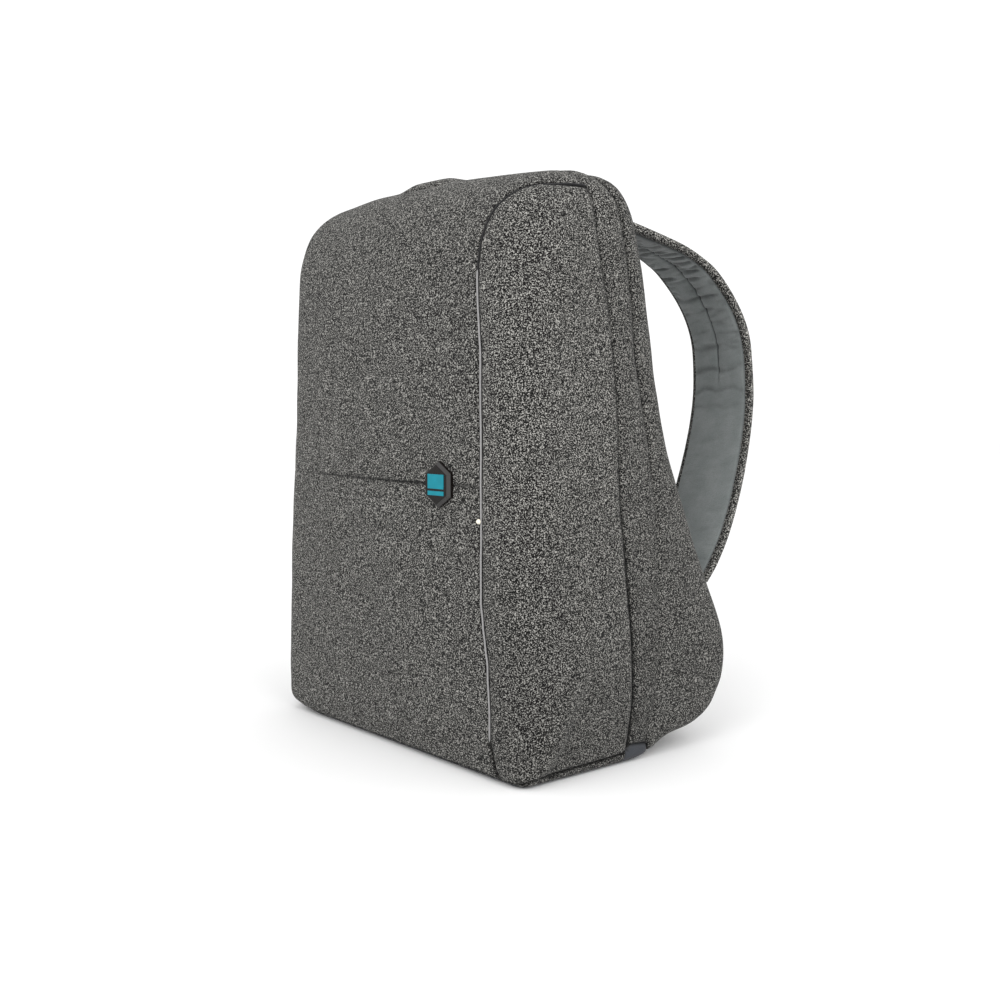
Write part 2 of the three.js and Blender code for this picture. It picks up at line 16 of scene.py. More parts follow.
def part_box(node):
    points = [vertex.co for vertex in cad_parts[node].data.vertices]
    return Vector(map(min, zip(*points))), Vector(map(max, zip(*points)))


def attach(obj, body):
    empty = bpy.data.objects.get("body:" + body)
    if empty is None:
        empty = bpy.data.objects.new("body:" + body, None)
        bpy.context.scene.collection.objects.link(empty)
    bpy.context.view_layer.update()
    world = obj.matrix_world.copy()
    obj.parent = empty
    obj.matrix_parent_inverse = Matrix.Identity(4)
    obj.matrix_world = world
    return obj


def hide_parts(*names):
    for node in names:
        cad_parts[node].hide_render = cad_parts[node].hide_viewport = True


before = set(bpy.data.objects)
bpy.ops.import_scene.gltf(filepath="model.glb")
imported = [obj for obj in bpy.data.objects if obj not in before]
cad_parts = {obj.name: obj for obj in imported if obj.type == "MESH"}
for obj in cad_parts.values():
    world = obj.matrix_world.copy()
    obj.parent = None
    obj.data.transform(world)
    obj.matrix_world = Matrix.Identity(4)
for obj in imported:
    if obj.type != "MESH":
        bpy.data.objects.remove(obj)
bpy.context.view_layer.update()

# Driving sizes, mm, as in the part
BAG_HEIGHT = 441.0
BAG_DEPTH = 217.0
BAG_WIDTH = 341.0
EDGE_RADIUS = 38.0
FRONT_CROWN = 7.0
SIDE_CROWN = 3.0
LEFT_FOOT_WIDTH = 64.0
LEFT_FOOT_HEIGHT = 35.0
FRONT_SEAM_HEIGHT = 212.0
PIPING_INSET = 44.0
PIPING_TOP = 366.0
PIPING_FOOT = 30.0
ARCH_HEIGHT = 426.0
LEFT_SEAM_INSET = 13.0
STRAP_WIDTH = 70.0
STRAP_THICKNESS = 8.5
STRAP_REACH = 182.0
STRAP_DROP = 282.0
STRAP_ROOT_HEIGHT = 409.5
STRAP_ROOT_X = 60.0
STRAP_FLARE = 52.0
LINING_BORDER = 7.0

# depth, height, radius, crown, width: shares of the sizes above, up the front and down the back
OUTLINE = np.array([
    (0.014, 0.0, 0.2, 0.0, 0.928), (-0.011, 0.009, 0.42, 0.0, 0.95), (-0.02, 0.041, 0.78, 0.14, 0.978),
    (-0.023, 0.102, 0.95, 0.43, 1.0), (-0.028, 0.227, 1.0, 0.86, 0.985), (-0.028, 0.385, 1.0, 1.0, 0.962),
    (-0.023, 0.544, 1.0, 1.0, 0.932), (-0.018, 0.692, 1.0, 0.86, 0.916), (-0.009, 0.805, 1.0, 0.71, 0.915),
    (0.009, 0.88, 1.02, 0.71, 0.918), (0.055, 0.939, 1.05, 0.71, 0.916), (0.138, 0.977, 1.1, 0.71, 0.909),
    (0.258, 0.995, 1.1, 0.43, 0.909), (0.387, 1.0, 1.0, 0.29, 0.909), (0.488, 0.982, 0.74, 0.29, 0.912),
    (0.548, 0.934, 0.58, 0.14, 0.915), (0.591, 0.853, 0.53, 0.0, 0.917), (0.636, 0.744, 0.53, 0.0, 0.915),
    (0.67, 0.646, 0.53, 0.0, 0.918), (0.71, 0.544, 0.53, 0.0, 0.932), (0.785, 0.449, 0.53, 0.0, 0.948),
    (0.867, 0.345, 0.53, 0.0, 0.968), (0.951, 0.254, 0.53, 0.0, 0.982), (0.998, 0.181, 0.53, 0.0, 0.992),
    (0.99, 0.113, 0.58, 0.0, 0.995), (0.935, 0.063, 0.58, 0.0, 0.985), (0.829, 0.036, 0.47, 0.0, 0.974),
    (0.682, 0.026, 0.32, 0.0, 0.962), (0.53, 0.0, 0.16, 0.0, 0.94),
])
# depth, height of the seams seen from the side
REAR_SEAM = np.array([
    (0.47, 0.03), (0.466, 0.113), (0.456, 0.2), (0.429, 0.317), (0.406, 0.44), (0.408, 0.59),
    (0.4, 0.68), (0.382, 0.755), (0.355, 0.834), (0.33, 0.905), (0.327, 0.96),
])
GROOVE = np.array([
    (0.55, 0.03), (0.575, 0.1), (0.585, 0.18), (0.583, 0.32), (0.576, 0.447), (0.562, 0.553), (0.54, 0.62),
    (0.512, 0.685), (0.495, 0.77), (0.476, 0.85), (0.45, 0.907), (0.425, 0.955),
])
BASE_SEAM = np.array([
    (0.01, 0.0095), (0.03, 0.0145), (0.12, 0.0155), (0.28, 0.0172), (0.45, 0.0195), (0.49, 0.032),
    (0.565, 0.029), (0.605, -0.01),
])
# height share of the arch, inset share of the piping's
OPENING = np.array([
    (0.0, 0.55), (0.02, 0.74), (0.07, 0.98), (0.12, 1.0), (0.2, 1.0), (0.3, 1.07), (0.45, 1.0),
    (0.6, 0.93), (0.72, 0.92), (0.859, 1.05), (0.9, 1.05), (0.932, 0.99), (0.955, 0.92),
    (0.972, 0.79), (0.988, 0.62), (0.997, 0.48),
])
# reach, drop, flare, twist, width, thickness along the middle of a strap
STRAP = np.array([
    (-0.03, 0.0, 0.0, 0, 1.0, 0.8), (0.152, -0.022, 0.0, -2, 1.0, 0.95), (0.287, -0.018, 0.02, -4, 1.0, 1.0),
    (0.433, 0.0, 0.08, -6, 1.0, 1.0), (0.601, 0.03, 0.16, -6, 1.0, 1.0), (0.713, 0.063, 0.22, -6, 1.0, 1.0),
    (0.798, 0.103, 0.28, -6, 1.0, 1.0), (0.913, 0.187, 0.35, -6, 1.0, 1.0),
    (0.978, 0.272, 0.41, -6, 1.0, 1.0),
    (1.0, 0.36, 0.45, -6, 1.0, 1.0), (0.983, 0.493, 0.52, -4, 1.0, 1.0), (0.916, 0.624, 0.61, -2, 1.0, 1.0),
    (0.817, 0.755, 0.71, 0, 1.0, 1.0), (0.697, 0.876, 0.83, 1, 0.98, 0.92), (0.6, 0.953, 0.92, 2, 0.92, 0.84),
    (0.53, 1.007, 1.0, 2, 0.8, 0.56),
])

MM = 0.001
# Longer than the bag in any direction, for lines that run on past their ends
FAR = 400.0


def curve(rows, t, closed):
    """Smooth rows at shares t, the same curve as the part's: centripetal if closed, else uniform."""
    rows = np.asarray(rows, float)
    t = np.atleast_1d(np.asarray(t, float))
    n = len(rows)
    if closed:
        u = (t % 1.0) * n
        i = np.floor(u).astype(int) % n
        w = (u - np.floor(u))[:, None]
        idx = [(i + k) % n for k in (-1, 0, 1, 2)]
        padded_rows = rows
    else:
        padded_rows = np.vstack([2 * rows[0] - rows[1], rows, 2 * rows[-1] - rows[-2]])
        u = np.clip(t, 0, 1) * (n - 1)
        i = np.minimum(np.floor(u).astype(int), n - 2)
        w = (u - i)[:, None]
        idx = [i, i + 1, i + 2, i + 3]
    out = np.zeros((len(t), rows.shape[1]))
    for c in range(0, rows.shape[1], 2):
        p0, p1, p2, p3 = [padded_rows[k][:, c:c + 2] for k in idx]
        if closed:
            d0, d1, d2 = [np.linalg.norm(b - a, axis=1)[:, None] ** 0.5
                          for a, b in ((p0, p1), (p1, p2), (p2, p3))]
            d1 = np.where(d1 < 1e-4, 1.0, d1)
            d0 = np.where(d0 < 1e-4, d1, d0)
            d2 = np.where(d2 < 1e-4, d1, d2)
            t1 = ((p1 - p0) / d0 - (p2 - p0) / (d0 + d1) + (p2 - p1) / d1) * d1
            t2 = ((p2 - p1) / d1 - (p3 - p1) / (d1 + d2) + (p3 - p2) / d2) * d1
        else:
            t1, t2 = 0.5 * (p2 - p0), 0.5 * (p3 - p1)
        out[:, c:c + 2] = (p1 + t1 * w + (-3 * p1 + 3 * p2 - 2 * t1 - t2) * w ** 2
                           + (2 * p1 - 2 * p2 + t1 + t2) * w ** 3)
    return out


def outline_at(t):
    t = np.atleast_1d(np.asarray(t, float))

    def read(at):
        row = curve(OUTLINE, at, True)
        row[:, 1] = np.maximum(row[:, 1], 0)
        return row
    row, ahead, behind = read(t), read(t + 1e-3), read(t - 1e-3)
    along = (ahead[:, :2] - behind[:, :2]) * (BAG_DEPTH, BAG_HEIGHT)
    along /= np.linalg.norm(along, axis=1)[:, None]
    return {"y": row[:, 0] * BAG_DEPTH, "z": row[:, 1] * BAG_HEIGHT, "oy": -along[:, 1], "oz": along[:, 0],
            "radius": row[:, 2] * EDGE_RADIUS, "crown": row[:, 3] * FRONT_CROWN,
            "half": row[:, 4] * BAG_WIDTH / 2}


ROWS = len(OUTLINE)
# The front stretch of the outline as tables against height
_front_t = np.linspace(0.03, 12 / ROWS, 400)
_front = outline_at(_front_t)


def half_width_at(z):
    return np.interp(z, _front["z"], _front["half"])


def on_front(x, z, out):
    """A place on the front face at x and height z, a distance out of it."""
    t = np.interp(z, _front["z"], _front_t)
    r = outline_at(t)
    flat = r["half"] - r["radius"]
    beyond = np.maximum(np.abs(x) - flat, 0)
    crown = r["crown"] * (1 - np.minimum(np.abs(x) / flat, 1) ** 2)
    turned = r["radius"] - np.sqrt(np.maximum(r["radius"] ** 2 - beyond ** 2, 0))
    d = -out - crown + turned
    return np.stack([np.broadcast_to(x, d.shape), r["y"] - r["oy"] * d, r["z"] - r["oz"] * d], 1)


def opening_line():
    z = OPENING[:, 0] * ARCH_HEIGHT
    return np.stack([half_width_at(z) - OPENING[:, 1] * PIPING_INSET, z], 1)


def left_line():
    line = opening_line()
    return np.stack([np.maximum(line[:, 0], half_width_at(line[:, 1]) - LEFT_SEAM_INSET), line[:, 1]], 1)


# Mesh helpers
def place(points):
    """Building coordinates in mm to the frame in metres."""
    return (np.asarray(points, float) + (0.0, FRAME_SHIFT, 0.0)) * MM


# The stud's centre is where on_front puts it, so its packed box gives the frame's shift along Y
STUD_HEIGHT = 188.0
_seam = opening_line()
_stud = on_front(np.interp([STUD_HEIGHT], _seam[:, 1], _seam[:, 0]), np.array([STUD_HEIGHT]), 2.4)[0]
stud_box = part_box("piping_stud")
FRAME_SHIFT = stud_box[1].y / MM - _stud[1]


def make_object(name, verts, faces, material, smooth=True):
    mesh = bpy.data.meshes.new(name)
    mesh.from_pydata([tuple(v) for v in verts], [], [tuple(f) for f in faces])
    mesh.validate()
    mesh.polygons.foreach_set("use_smooth", [smooth] * len(mesh.polygons))
    mesh.update()
    obj = bpy.data.objects.new(name, mesh)
    bpy.context.scene.collection.objects.link(obj)
    if material is not None:
        mesh.materials.append(material)
    return obj


def grid_faces(rows, cols, closed_cols=False):
    r = np.arange(rows - 1)
    c = np.arange(cols if closed_cols else cols - 1)
    rr, cc = np.meshgrid(r, c, indexing="ij")
    a = rr * cols + cc
    b = rr * cols + (cc + 1) % cols
    d = (rr + 1) * cols + cc
    e = (rr + 1) * cols + (cc + 1) % cols
    return np.stack([a, b, e, d], -1).reshape(-1, 4)


def tube_faces(rows, cols):
    """Faces of a closed tube: rows rings of cols points, with a flat end on the first and the last."""
    sides = [tuple(q) for q in grid_faces(rows, cols, closed_cols=True)]
    return sides + [tuple(range(cols))[::-1], tuple(range((rows - 1) * cols, rows * cols))]


def round_corners(cols):
    """Evenly spaced angles round a section, as their cosines and sines."""
    angle = (np.arange(cols) + 0.5) / cols * 2 * math.pi
    return np.cos(angle), np.sin(angle)


def superellipse(value, power):
    return np.sign(value) * np.abs(value) ** power


def eased(values, rounds):
    """Rows averaged along their order, the first and last kept, in place."""
    for _ in range(rounds):
        values[1:-1] = (values[:-2] + values[1:-1] * 2 + values[2:]) / 4
    return values


def mark_painted_shade(obj, values):
    """Stores the painted shade in the cloth's seams and folds at each vertex, for the materials to read."""
    mark = obj.data.attributes.new("seam", "FLOAT", "POINT")
    mark.data.foreach_set("value", values.astype(np.float32))


def dress(obj, slot, *nodes):
    """Rides the piece on the bag and hides the solids that it stands in for. Its slot is not used."""
    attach(obj, "root")
    if nodes:
        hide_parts(*nodes)
    return obj


def vertices_of(obj):
    co = np.zeros(len(obj.data.vertices) * 3, np.float32)
    obj.data.vertices.foreach_get("co", co)
    return co.reshape(-1, 3).astype(float)


def triangles_of(obj):
    obj.data.calc_loop_triangles()
    tris = np.zeros(len(obj.data.loop_triangles) * 3, np.int32)
    obj.data.loop_triangles.foreach_get("vertices", tris)
    return tris.reshape(-1, 3)


def apply_modifiers(obj):
    dg = bpy.context.evaluated_depsgraph_get()
    mesh = bpy.data.meshes.new_from_object(obj.evaluated_get(dg), depsgraph=dg)
    old = obj.data
    obj.modifiers.clear()
    obj.data = mesh
    bpy.data.meshes.remove(old)
    return obj


def vertex_normals(v, f):
    n = np.cross(v[f[:, 1]] - v[f[:, 0]], v[f[:, 2]] - v[f[:, 0]])
    out = np.zeros_like(v)
    for k in range(3):
        np.add.at(out, f[:, k], n)
    return out / np.maximum(np.linalg.norm(out, axis=1), 1e-12)[:, None]


def cut(v, f, g, snap=0.12):
    """Inserts the line g = 0 into a triangle mesh. Corners nearer to it than snap are moved on to it."""
    lengths = np.linalg.norm(v[f[:, 0]] - v[f[:, 1]], axis=1).mean()
    g = np.where(np.abs(g) < snap * lengths, 0.0, g)
    s = np.sign(g).astype(int)
    sf = s[f]
    crossed = (sf.min(1) < 0) & (sf.max(1) > 0)
    keep, work = f[~crossed], f[crossed]
    if len(work) == 0:
        return v, f
    # turn each crossed triangle so that its first corner is alone on its side, or is on the line
    sw = s[work]
    zero = (sw == 0).any(1)
    lone = np.where(zero, np.argmax(sw == 0, 1), 0)
    total = sw.sum(1)
    odd = ~zero
    lone_sign = -np.sign(total)
    lone[odd] = np.argmax(sw[odd] == lone_sign[odd][:, None], 1)
    work = np.stack([work[np.arange(len(work)), (lone + k) % 3] for k in range(3)], 1)
    edges = np.concatenate([work[zero][:, 1:3], work[odd][:, [0, 1]], work[odd][:, [0, 2]]])
    ordered = np.sort(edges, 1)
    unique, inverse = np.unique(ordered, axis=0, return_inverse=True)
    inverse = inverse.reshape(-1)
    a, b = unique[:, 0], unique[:, 1]
    w = (g[a] / (g[a] - g[b]))[:, None]
    new = v[a] * (1 - w) + v[b] * w
    index = len(v) + inverse
    nz, no = int(zero.sum()), int(odd.sum())
    mz, m1, m2 = index[:nz], index[nz:nz + no], index[nz + no:]
    wz, wo = work[zero], work[odd]
    faces = [keep,
             np.stack([wz[:, 0], wz[:, 1], mz], 1), np.stack([wz[:, 0], mz, wz[:, 2]], 1),
             np.stack([wo[:, 0], m1, m2], 1), np.stack([m1, wo[:, 1], wo[:, 2]], 1),
             np.stack([m1, wo[:, 2], m2], 1)]
    return np.vstack([v, new]), np.vstack(faces)


def signed_to_line(p, q, line):
    """Signed distance in a plane from points (p, q) to an open polyline, extended at both ends."""
    line = np.asarray(line, float)
    before, after = [end + (end - inner) / np.linalg.norm(end - inner) * FAR
                     for end, inner in ((line[0], line[1]), (line[-1], line[-2]))]
    pts = np.vstack([before, line, after])
    best = np.full(len(p), 1e9)
    sign = np.ones(len(p))
    for a, b in zip(pts[:-1], pts[1:]):
        d = b - a
        w = np.clip(((p - a[0]) * d[0] + (q - a[1]) * d[1]) / (d @ d), 0, 1)
        dist = np.hypot(p - a[0] - w * d[0], q - a[1] - w * d[1])
        side = d[0] * (q - a[1]) - d[1] * (p - a[0])
        nearer = dist < best - 1e-9
        best = np.where(nearer, dist, best)
        sign = np.where(nearer, np.where(side >= 0, 1.0, -1.0), sign)
    return best * sign


def dense(line, step):
    seg = np.linalg.norm(np.diff(line, axis=0), axis=1)
    at = np.concatenate([[0], np.cumsum(seg)])
    s = np.arange(0, at[-1], step)
    return np.stack([np.interp(s, at, line[:, k]) for k in range(line.shape[1])], 1)


def wobble(points, scale, seed):
    """Smooth noise about 0 to +-0.5 at each point, its size in mm given by scale."""
    off = Vector((seed * 13.7, seed * 7.3, seed * 3.1))
    return np.array([noise.noise(Vector(p) / scale + off) for p in points])


# Materials
def new_material(name):
    mat = bpy.data.materials.new(name)
    mat.use_nodes = True
    nt = mat.node_tree
    nt.nodes.clear()
    out = nt.nodes.new("ShaderNodeOutputMaterial")
    bsdf = nt.nodes.new("ShaderNodeBsdfPrincipled")
    nt.links.new(bsdf.outputs[0], out.inputs[0])
    return mat, nt, bsdf


def ramp(nt, factor, stops):
    """A ramp of tones or colours over a factor."""
    r = nt.nodes.new("ShaderNodeValToRGB")
    while len(r.color_ramp.elements) < len(stops):
        r.color_ramp.elements.new(0.5)
    for e, (pos, colour) in zip(r.color_ramp.elements, stops):
        e.position = pos
        e.color = (*colour, 1) if hasattr(colour, "__len__") else (colour, colour, colour, 1)
    nt.links.new(factor, r.inputs[0])
    return r.outputs[0]


def mix(nt, kind, fac, a, b):
    m = nt.nodes.new("ShaderNodeMix")
    m.data_type = "RGBA"
    m.blend_type = kind
    for socket, value in ((m.inputs[0], fac), (m.inputs[6], a), (m.inputs[7], b)):
        if isinstance(value, bpy.types.NodeSocket):
            nt.links.new(value, socket)
        elif hasattr(value, "__len__"):
            socket.default_value = (*value, 1)
        else:
            socket.default_value = value if socket == m.inputs[0] else (value, value, value, 1)
    return m.outputs[2]


def math_node(nt, op, a, b):
    m = nt.nodes.new("ShaderNodeMath")
    m.operation = op
    for i, value in enumerate((a, b)):
        if isinstance(value, bpy.types.NodeSocket):
            nt.links.new(value, m.inputs[i])
        else:
            m.inputs[i].default_value = value
    return m.outputs[0]


def object_coords(nt):
    return nt.nodes.new("ShaderNodeTexCoord").outputs["Object"]


def give(node, sockets):
    """Sets a node's inputs by name."""
    for socket, value in sockets.items():
        node.inputs[socket].default_value = value


def bump(nt, bsdf, height, distance, strength):
    b = nt.nodes.new("ShaderNodeBump")
    give(b, {"Strength": strength, "Distance": distance})
    nt.links.new(height, b.inputs["Height"])
    nt.links.new(b.outputs[0], bsdf.inputs["Normal"])


def texture(nt, kind, coords, sockets):
    """A texture node fed with coordinates. Waves run up the bag."""
    n = nt.nodes.new("ShaderNodeTex" + kind)
    if kind == "Wave":
        n.bands_direction = "Z"
    give(n, sockets)
    nt.links.new(coords, n.inputs["Vector"])
    return n


def noise_at(nt, coords, scale, detail=2.0, rough=0.5, distortion=0.0):
    sockets = {"Scale": scale, "Detail": detail, "Roughness": rough, "Distortion": distortion}
    return texture(nt, "Noise", coords, sockets).outputs[0]


def weighted(nt, a, share_a, b, share_b):
    return math_node(nt, "ADD", math_node(nt, "MULTIPLY", a, share_a), math_node(nt, "MULTIPLY", b, share_b))


def shaded(nt, colour, factor, stops):
    """A colour multiplied by a ramp of tones."""
    return mix(nt, "MULTIPLY", 1.0, colour, ramp(nt, factor, stops))


def painted_shade_mark(nt):
    mark = nt.nodes.new("ShaderNodeAttribute")
    mark.attribute_name = "seam"
    return mark.outputs["Fac"]


def melange_material(name, dark=0.0005, middle=0.014, light=0.37, tint=(1.0, 0.978, 0.915), painted_shade_dim=1.0,
                     fine=(1.0, 1.0, 1.15), painted_foot_shade=1.0):
    """Salt and pepper tweed: short light and dark yarns about 1 mm wide, fuzzy, with painted shade in the
    seams.

    fine makes the speckle finer along each axis; the foot factor is a painted shade near the floor, and the
    dim factor a painted shade over the whole piece.
    """
    mat, nt, bsdf = new_material(name)
    co = object_coords(nt)
    finer = nt.nodes.new("ShaderNodeVectorMath")
    finer.operation = "MULTIPLY"
    finer.inputs[1].default_value = fine
    nt.links.new(co, finer.inputs[0])
    yarn = noise_at(nt, finer.outputs[0], 960.0, 0.0, 0.5, 0.5)
    fleck = noise_at(nt, finer.outputs[0], 1900.0, 0.0, 0.5, 0.3)
    both = weighted(nt, yarn, 0.62, fleck, 0.38)
    # rows of yarn about 2.2 mm apart, broken up by the noise
    rows = texture(nt, "Wave", co, {"Scale": 141.0, "Distortion": 6.0, "Detail": 0.0, "Detail Scale": 420.0})
    row_part = math_node(nt, "MULTIPLY", math_node(nt, "SUBTRACT", rows.outputs["Fac"], 0.5), 0.055)
    both = math_node(nt, "ADD", both, row_part)
    colour = ramp(nt, both, [
        (0.36, dark), (0.45, middle * 0.2), (0.51, middle), (0.57, light * 0.38), (0.65, light)])
    colour = mix(nt, "MULTIPLY", 1.0, colour, tint)
    # Painted shade: the cloth darkens towards the floor by the foot factor
    height_of = nt.nodes.new("ShaderNodeSeparateXYZ")
    nt.links.new(co, height_of.inputs[0])
    colour = shaded(nt, colour, height_of.outputs[2], [(0.04, painted_foot_shade), (0.24, 1.0)])
    # Painted shade in the seams and folds, and over the whole piece by the dim factor
    colour = shaded(nt, colour, painted_shade_mark(nt), [(0.0, painted_shade_dim), (0.45, painted_shade_dim * 0.4), (1.0, painted_shade_dim * 0.02)])
    nt.links.new(colour, bsdf.inputs["Base Color"])
    fuzz = noise_at(nt, co, 2600.0, 1.0, 0.6)
    height = math_node(nt, "ADD", both, math_node(nt, "MULTIPLY", fuzz, 0.25))
    bump(nt, bsdf, height, 0.0009, 0.75)
    nt.links.new(ramp(nt, fuzz, [(0.3, 0.82), (0.7, 1.0)]), bsdf.inputs["Roughness"])
    give(bsdf, {"Sheen Weight": 0.05, "Sheen Roughness": 0.6, "Specular IOR Level": 0.12})
    return mat


def lining_material(name):
    """Light grey fine knit: small offset loops, a soft cast, and painted shade in its gathers."""
    mat, nt, bsdf = new_material(name)
    co = object_coords(nt)
    cells = texture(nt, "Voronoi", co, {"Scale": 1150.0}).outputs["Distance"]
    tone = noise_at(nt, co, 60.0, 3.0, 0.55)
    colour = ramp(nt, tone, [(0.3, (0.192, 0.213, 0.211)), (0.7, (0.245, 0.264, 0.262))])
    colour = shaded(nt, colour, cells, [(0.0, 1.06), (0.8, 0.84)])
    # Painted shade in the gathers and seams, and a painted shadow near the strap's root
    colour = shaded(nt, colour, painted_shade_mark(nt), [(0.0, 1.0), (1.0, 0.16)])
    nt.links.new(colour, bsdf.inputs["Base Color"])
    bump(nt, bsdf, cells, 0.0004, 0.5)
    give(bsdf, {"Roughness": 0.85, "Sheen Weight": 0.25, "Sheen Roughness": 0.5, "Specular IOR Level": 0.25})
    return mat


def coated_material(name):
    """Smooth coated cloth: fine plain weave showing through a dark blue grey coat, scuffed a little."""
    mat, nt, bsdf = new_material(name)
    co = object_coords(nt)
    grain = texture(nt, "Voronoi", co, {"Scale": 800.0})
    scuff = noise_at(nt, co, 90.0, 4.0, 0.6, 0.8)
    colour = ramp(nt, scuff, [(0.3, (0.018, 0.021, 0.027)), (0.72, (0.030, 0.034, 0.042))])
    # Painted shade in the seams
    colour = shaded(nt, colour, painted_shade_mark(nt), [(0.0, 1.0), (1.0, 0.3)])
    nt.links.new(colour, bsdf.inputs["Base Color"])
    bump(nt, bsdf, grain.outputs["Distance"], 0.0003, 0.45)
    nt.links.new(ramp(nt, scuff, [(0.3, 0.45), (0.7, 0.62)]), bsdf.inputs["Roughness"])
    return mat


def ribbed_material(name, dark, light, scale, rough):
    """Woven webbing or tape: ribs across it with a fine diagonal yarn between them."""
    mat, nt, bsdf = new_material(name)
    co = object_coords(nt)
    ribs = texture(nt, "Wave", co, {"Scale": scale, "Distortion": 0.6, "Detail": 1.0})
    yarn = noise_at(nt, co, 1500.0, 1.0, 0.5, 0.5)
    both = weighted(nt, ribs.outputs["Fac"], 0.6, yarn, 0.4)
    nt.links.new(ramp(nt, both, [(0.25, dark), (0.75, light)]), bsdf.inputs["Base Color"])
    bump(nt, bsdf, both, 0.0004, 0.6)
    give(bsdf, {"Roughness": rough, "Sheen Weight": 0.1})
    return mat


def moulded_material(name, colour, rough, coat=0.0, grain=1400.0, depth=0.00008, shine=0.5):
    """Moulded plastic: a fine grain and a little unevenness in gloss."""
    mat, nt, bsdf = new_material(name)
    co = object_coords(nt)
    fine = noise_at(nt, co, grain, 2.0, 0.6)
    broad = noise_at(nt, co, 120.0, 2.0, 0.5)
    lo, hi = [tuple(c * tone for c in colour) for tone in (0.9, 1.08)]
    nt.links.new(ramp(nt, broad, [(0.3, lo), (0.7, hi)]), bsdf.inputs["Base Color"])
    nt.links.new(ramp(nt, fine, [(0.2, rough * 0.85), (0.8, min(rough * 1.15, 1))]), bsdf.inputs["Roughness"])
    bump(nt, bsdf, fine, depth, 0.5)
    give(bsdf, {"Specular IOR Level": shine, "Coat Weight": coat, "Coat Roughness": 0.06})
    return mat


MELANGE = melange_material("melange_front")
# The side cloth is painted darker towards the floor, a painted shade
SIDE_CLOTH = {"middle": 0.008, "light": 0.42, "fine": (1.12, 1.12, 1.25), "painted_foot_shade": 0.78}
MELANGE_SIDE = melange_material("melange_side", **SIDE_CLOTH)
# Painted shade: the gusset and the back are dimmed copies of the melange, darker where they turn from the
# light
MELANGE_GUSSET_SHADED = melange_material("melange_gusset_painted_shade", painted_shade_dim=0.84, **SIDE_CLOTH)
MELANGE_STRAP = melange_material("melange_strap", middle=0.028, light=0.5)
MELANGE_BACK_SHADED = melange_material("melange_back_painted_shade", painted_shade_dim=0.86)
LINING = lining_material("strap_lining_knit")
COATED = coated_material("coated_base")
REFLECTIVE = ribbed_material("reflective_tape", (0.24, 0.235, 0.235), (0.36, 0.352, 0.352), 700.0, 0.5)
ZIP_BLACK = ribbed_material("zip_tape", (0.0015, 0.0015, 0.002), (0.004, 0.004, 0.005), 500.0, 0.9)
WEBBING = ribbed_material("webbing_weave", (0.006, 0.006, 0.008), (0.028, 0.029, 0.033), 330.0, 0.8)
# Painted highlight: the bevel's facets get a lighter copy of the badge's black, for the glints on them
BADGE_BEVEL_HIGHLIGHT = moulded_material("badge_bevel_painted_highlight", (0.022, 0.021, 0.02), 0.2, coat=0.1, shine=0.5)
BADGE = moulded_material("badge_gloss", (0.0065, 0.0052, 0.0045), 0.26, coat=0.02, shine=0.18)
TEAL = moulded_material("badge_fields", (0.003, 0.2, 0.258), 0.45, shine=0.2)
CREAM = moulded_material("stud_cream", (0.78, 0.74, 0.62), 0.4)
PLASTIC = moulded_material("adjuster_plastic", (0.012, 0.012, 0.014), 0.5, grain=900.0, depth=0.0002)


# The bag's skin
def bag_skin():
    """A fine closed mesh of the bag's outer surface."""
    steps = 360
    r = outline_at(np.arange(steps) / steps)
    y, z, oy, oz, radius, crown, half = (r[k] for k in ("y", "z", "oy", "oz", "radius", "crown", "half"))
    rings = []
    for share in np.linspace(0, 1, 14):
        depth = -crown * (1 - share ** 2)
        rings.append(np.stack([share * (half - radius), y - oy * depth, z - oz * depth], 1))
    for angle in np.linspace(0, math.pi / 2, 8)[1:]:
        depth = radius * (1 - math.cos(angle))
        rings.append(np.stack([half - radius + math.sin(angle) * radius, y - oy * depth, z - oz * depth], 1))
    rim = rings[-1]
    centre = rim.mean(0)
    for share in np.linspace(1, 0.04, 22)[1:]:
        p = centre + (rim - centre) * share
        x = half_width_at(p[:, 2]) * (1 - share ** 4) + half * share ** 4 + SIDE_CROWN * (1 - share ** 2)
        rings.append(np.stack([x, p[:, 1], p[:, 2]], 1))
    right = rings[1:]
    left = [ring * (-1, 1, 1) for ring in right[::-1]]
    every = left + rings
    verts = np.vstack(every + [every[0].mean(0), every[-1].mean(0)])
    faces = [tuple(q) for q in grid_faces(len(every), steps, closed_cols=True)]
    first, last, end = len(verts) - 2, len(verts) - 1, (len(every) - 1) * steps
    for i in range(steps):
        j = (i + 1) % steps
        faces.append((first, j, i))
        faces.append((last, end + i, end + j))
    return round_left_foot(verts), faces


def round_left_foot(verts):
    """Lifts the skin on to the arc under the bag's left foot, where the cloth rises to the side."""
    start = half_width_at(LEFT_FOOT_HEIGHT) + SIDE_CROWN - LEFT_FOOT_WIDTH
    across = np.clip((-verts[:, 0] - start) / LEFT_FOOT_WIDTH, 0, 1)
    floor = LEFT_FOOT_HEIGHT * (1 - np.sqrt(1 - across ** 2))
    lifted = floor + verts[:, 2] * np.clip(1 - floor / LEFT_FOOT_HEIGHT, 0, 1)
    low = np.clip(1 - (verts[:, 2] - LEFT_FOOT_HEIGHT) / 20, 0, 1) * (across > 0)
    out = verts.copy()
    out[:, 2] = np.where(verts[:, 2] < LEFT_FOOT_HEIGHT, np.maximum(lifted, verts[:, 2]), verts[:, 2])
    up = np.clip(out[:, 2] / LEFT_FOOT_HEIGHT, 0, 1)
    reach = start + LEFT_FOOT_WIDTH * np.sqrt(np.clip(1 - (1 - up) ** 2, 0, 1))
    out[:, 0] = np.where((low > 0) & (out[:, 2] < LEFT_FOOT_HEIGHT), np.maximum(out[:, 0], -reach), out[:, 0])
    return out


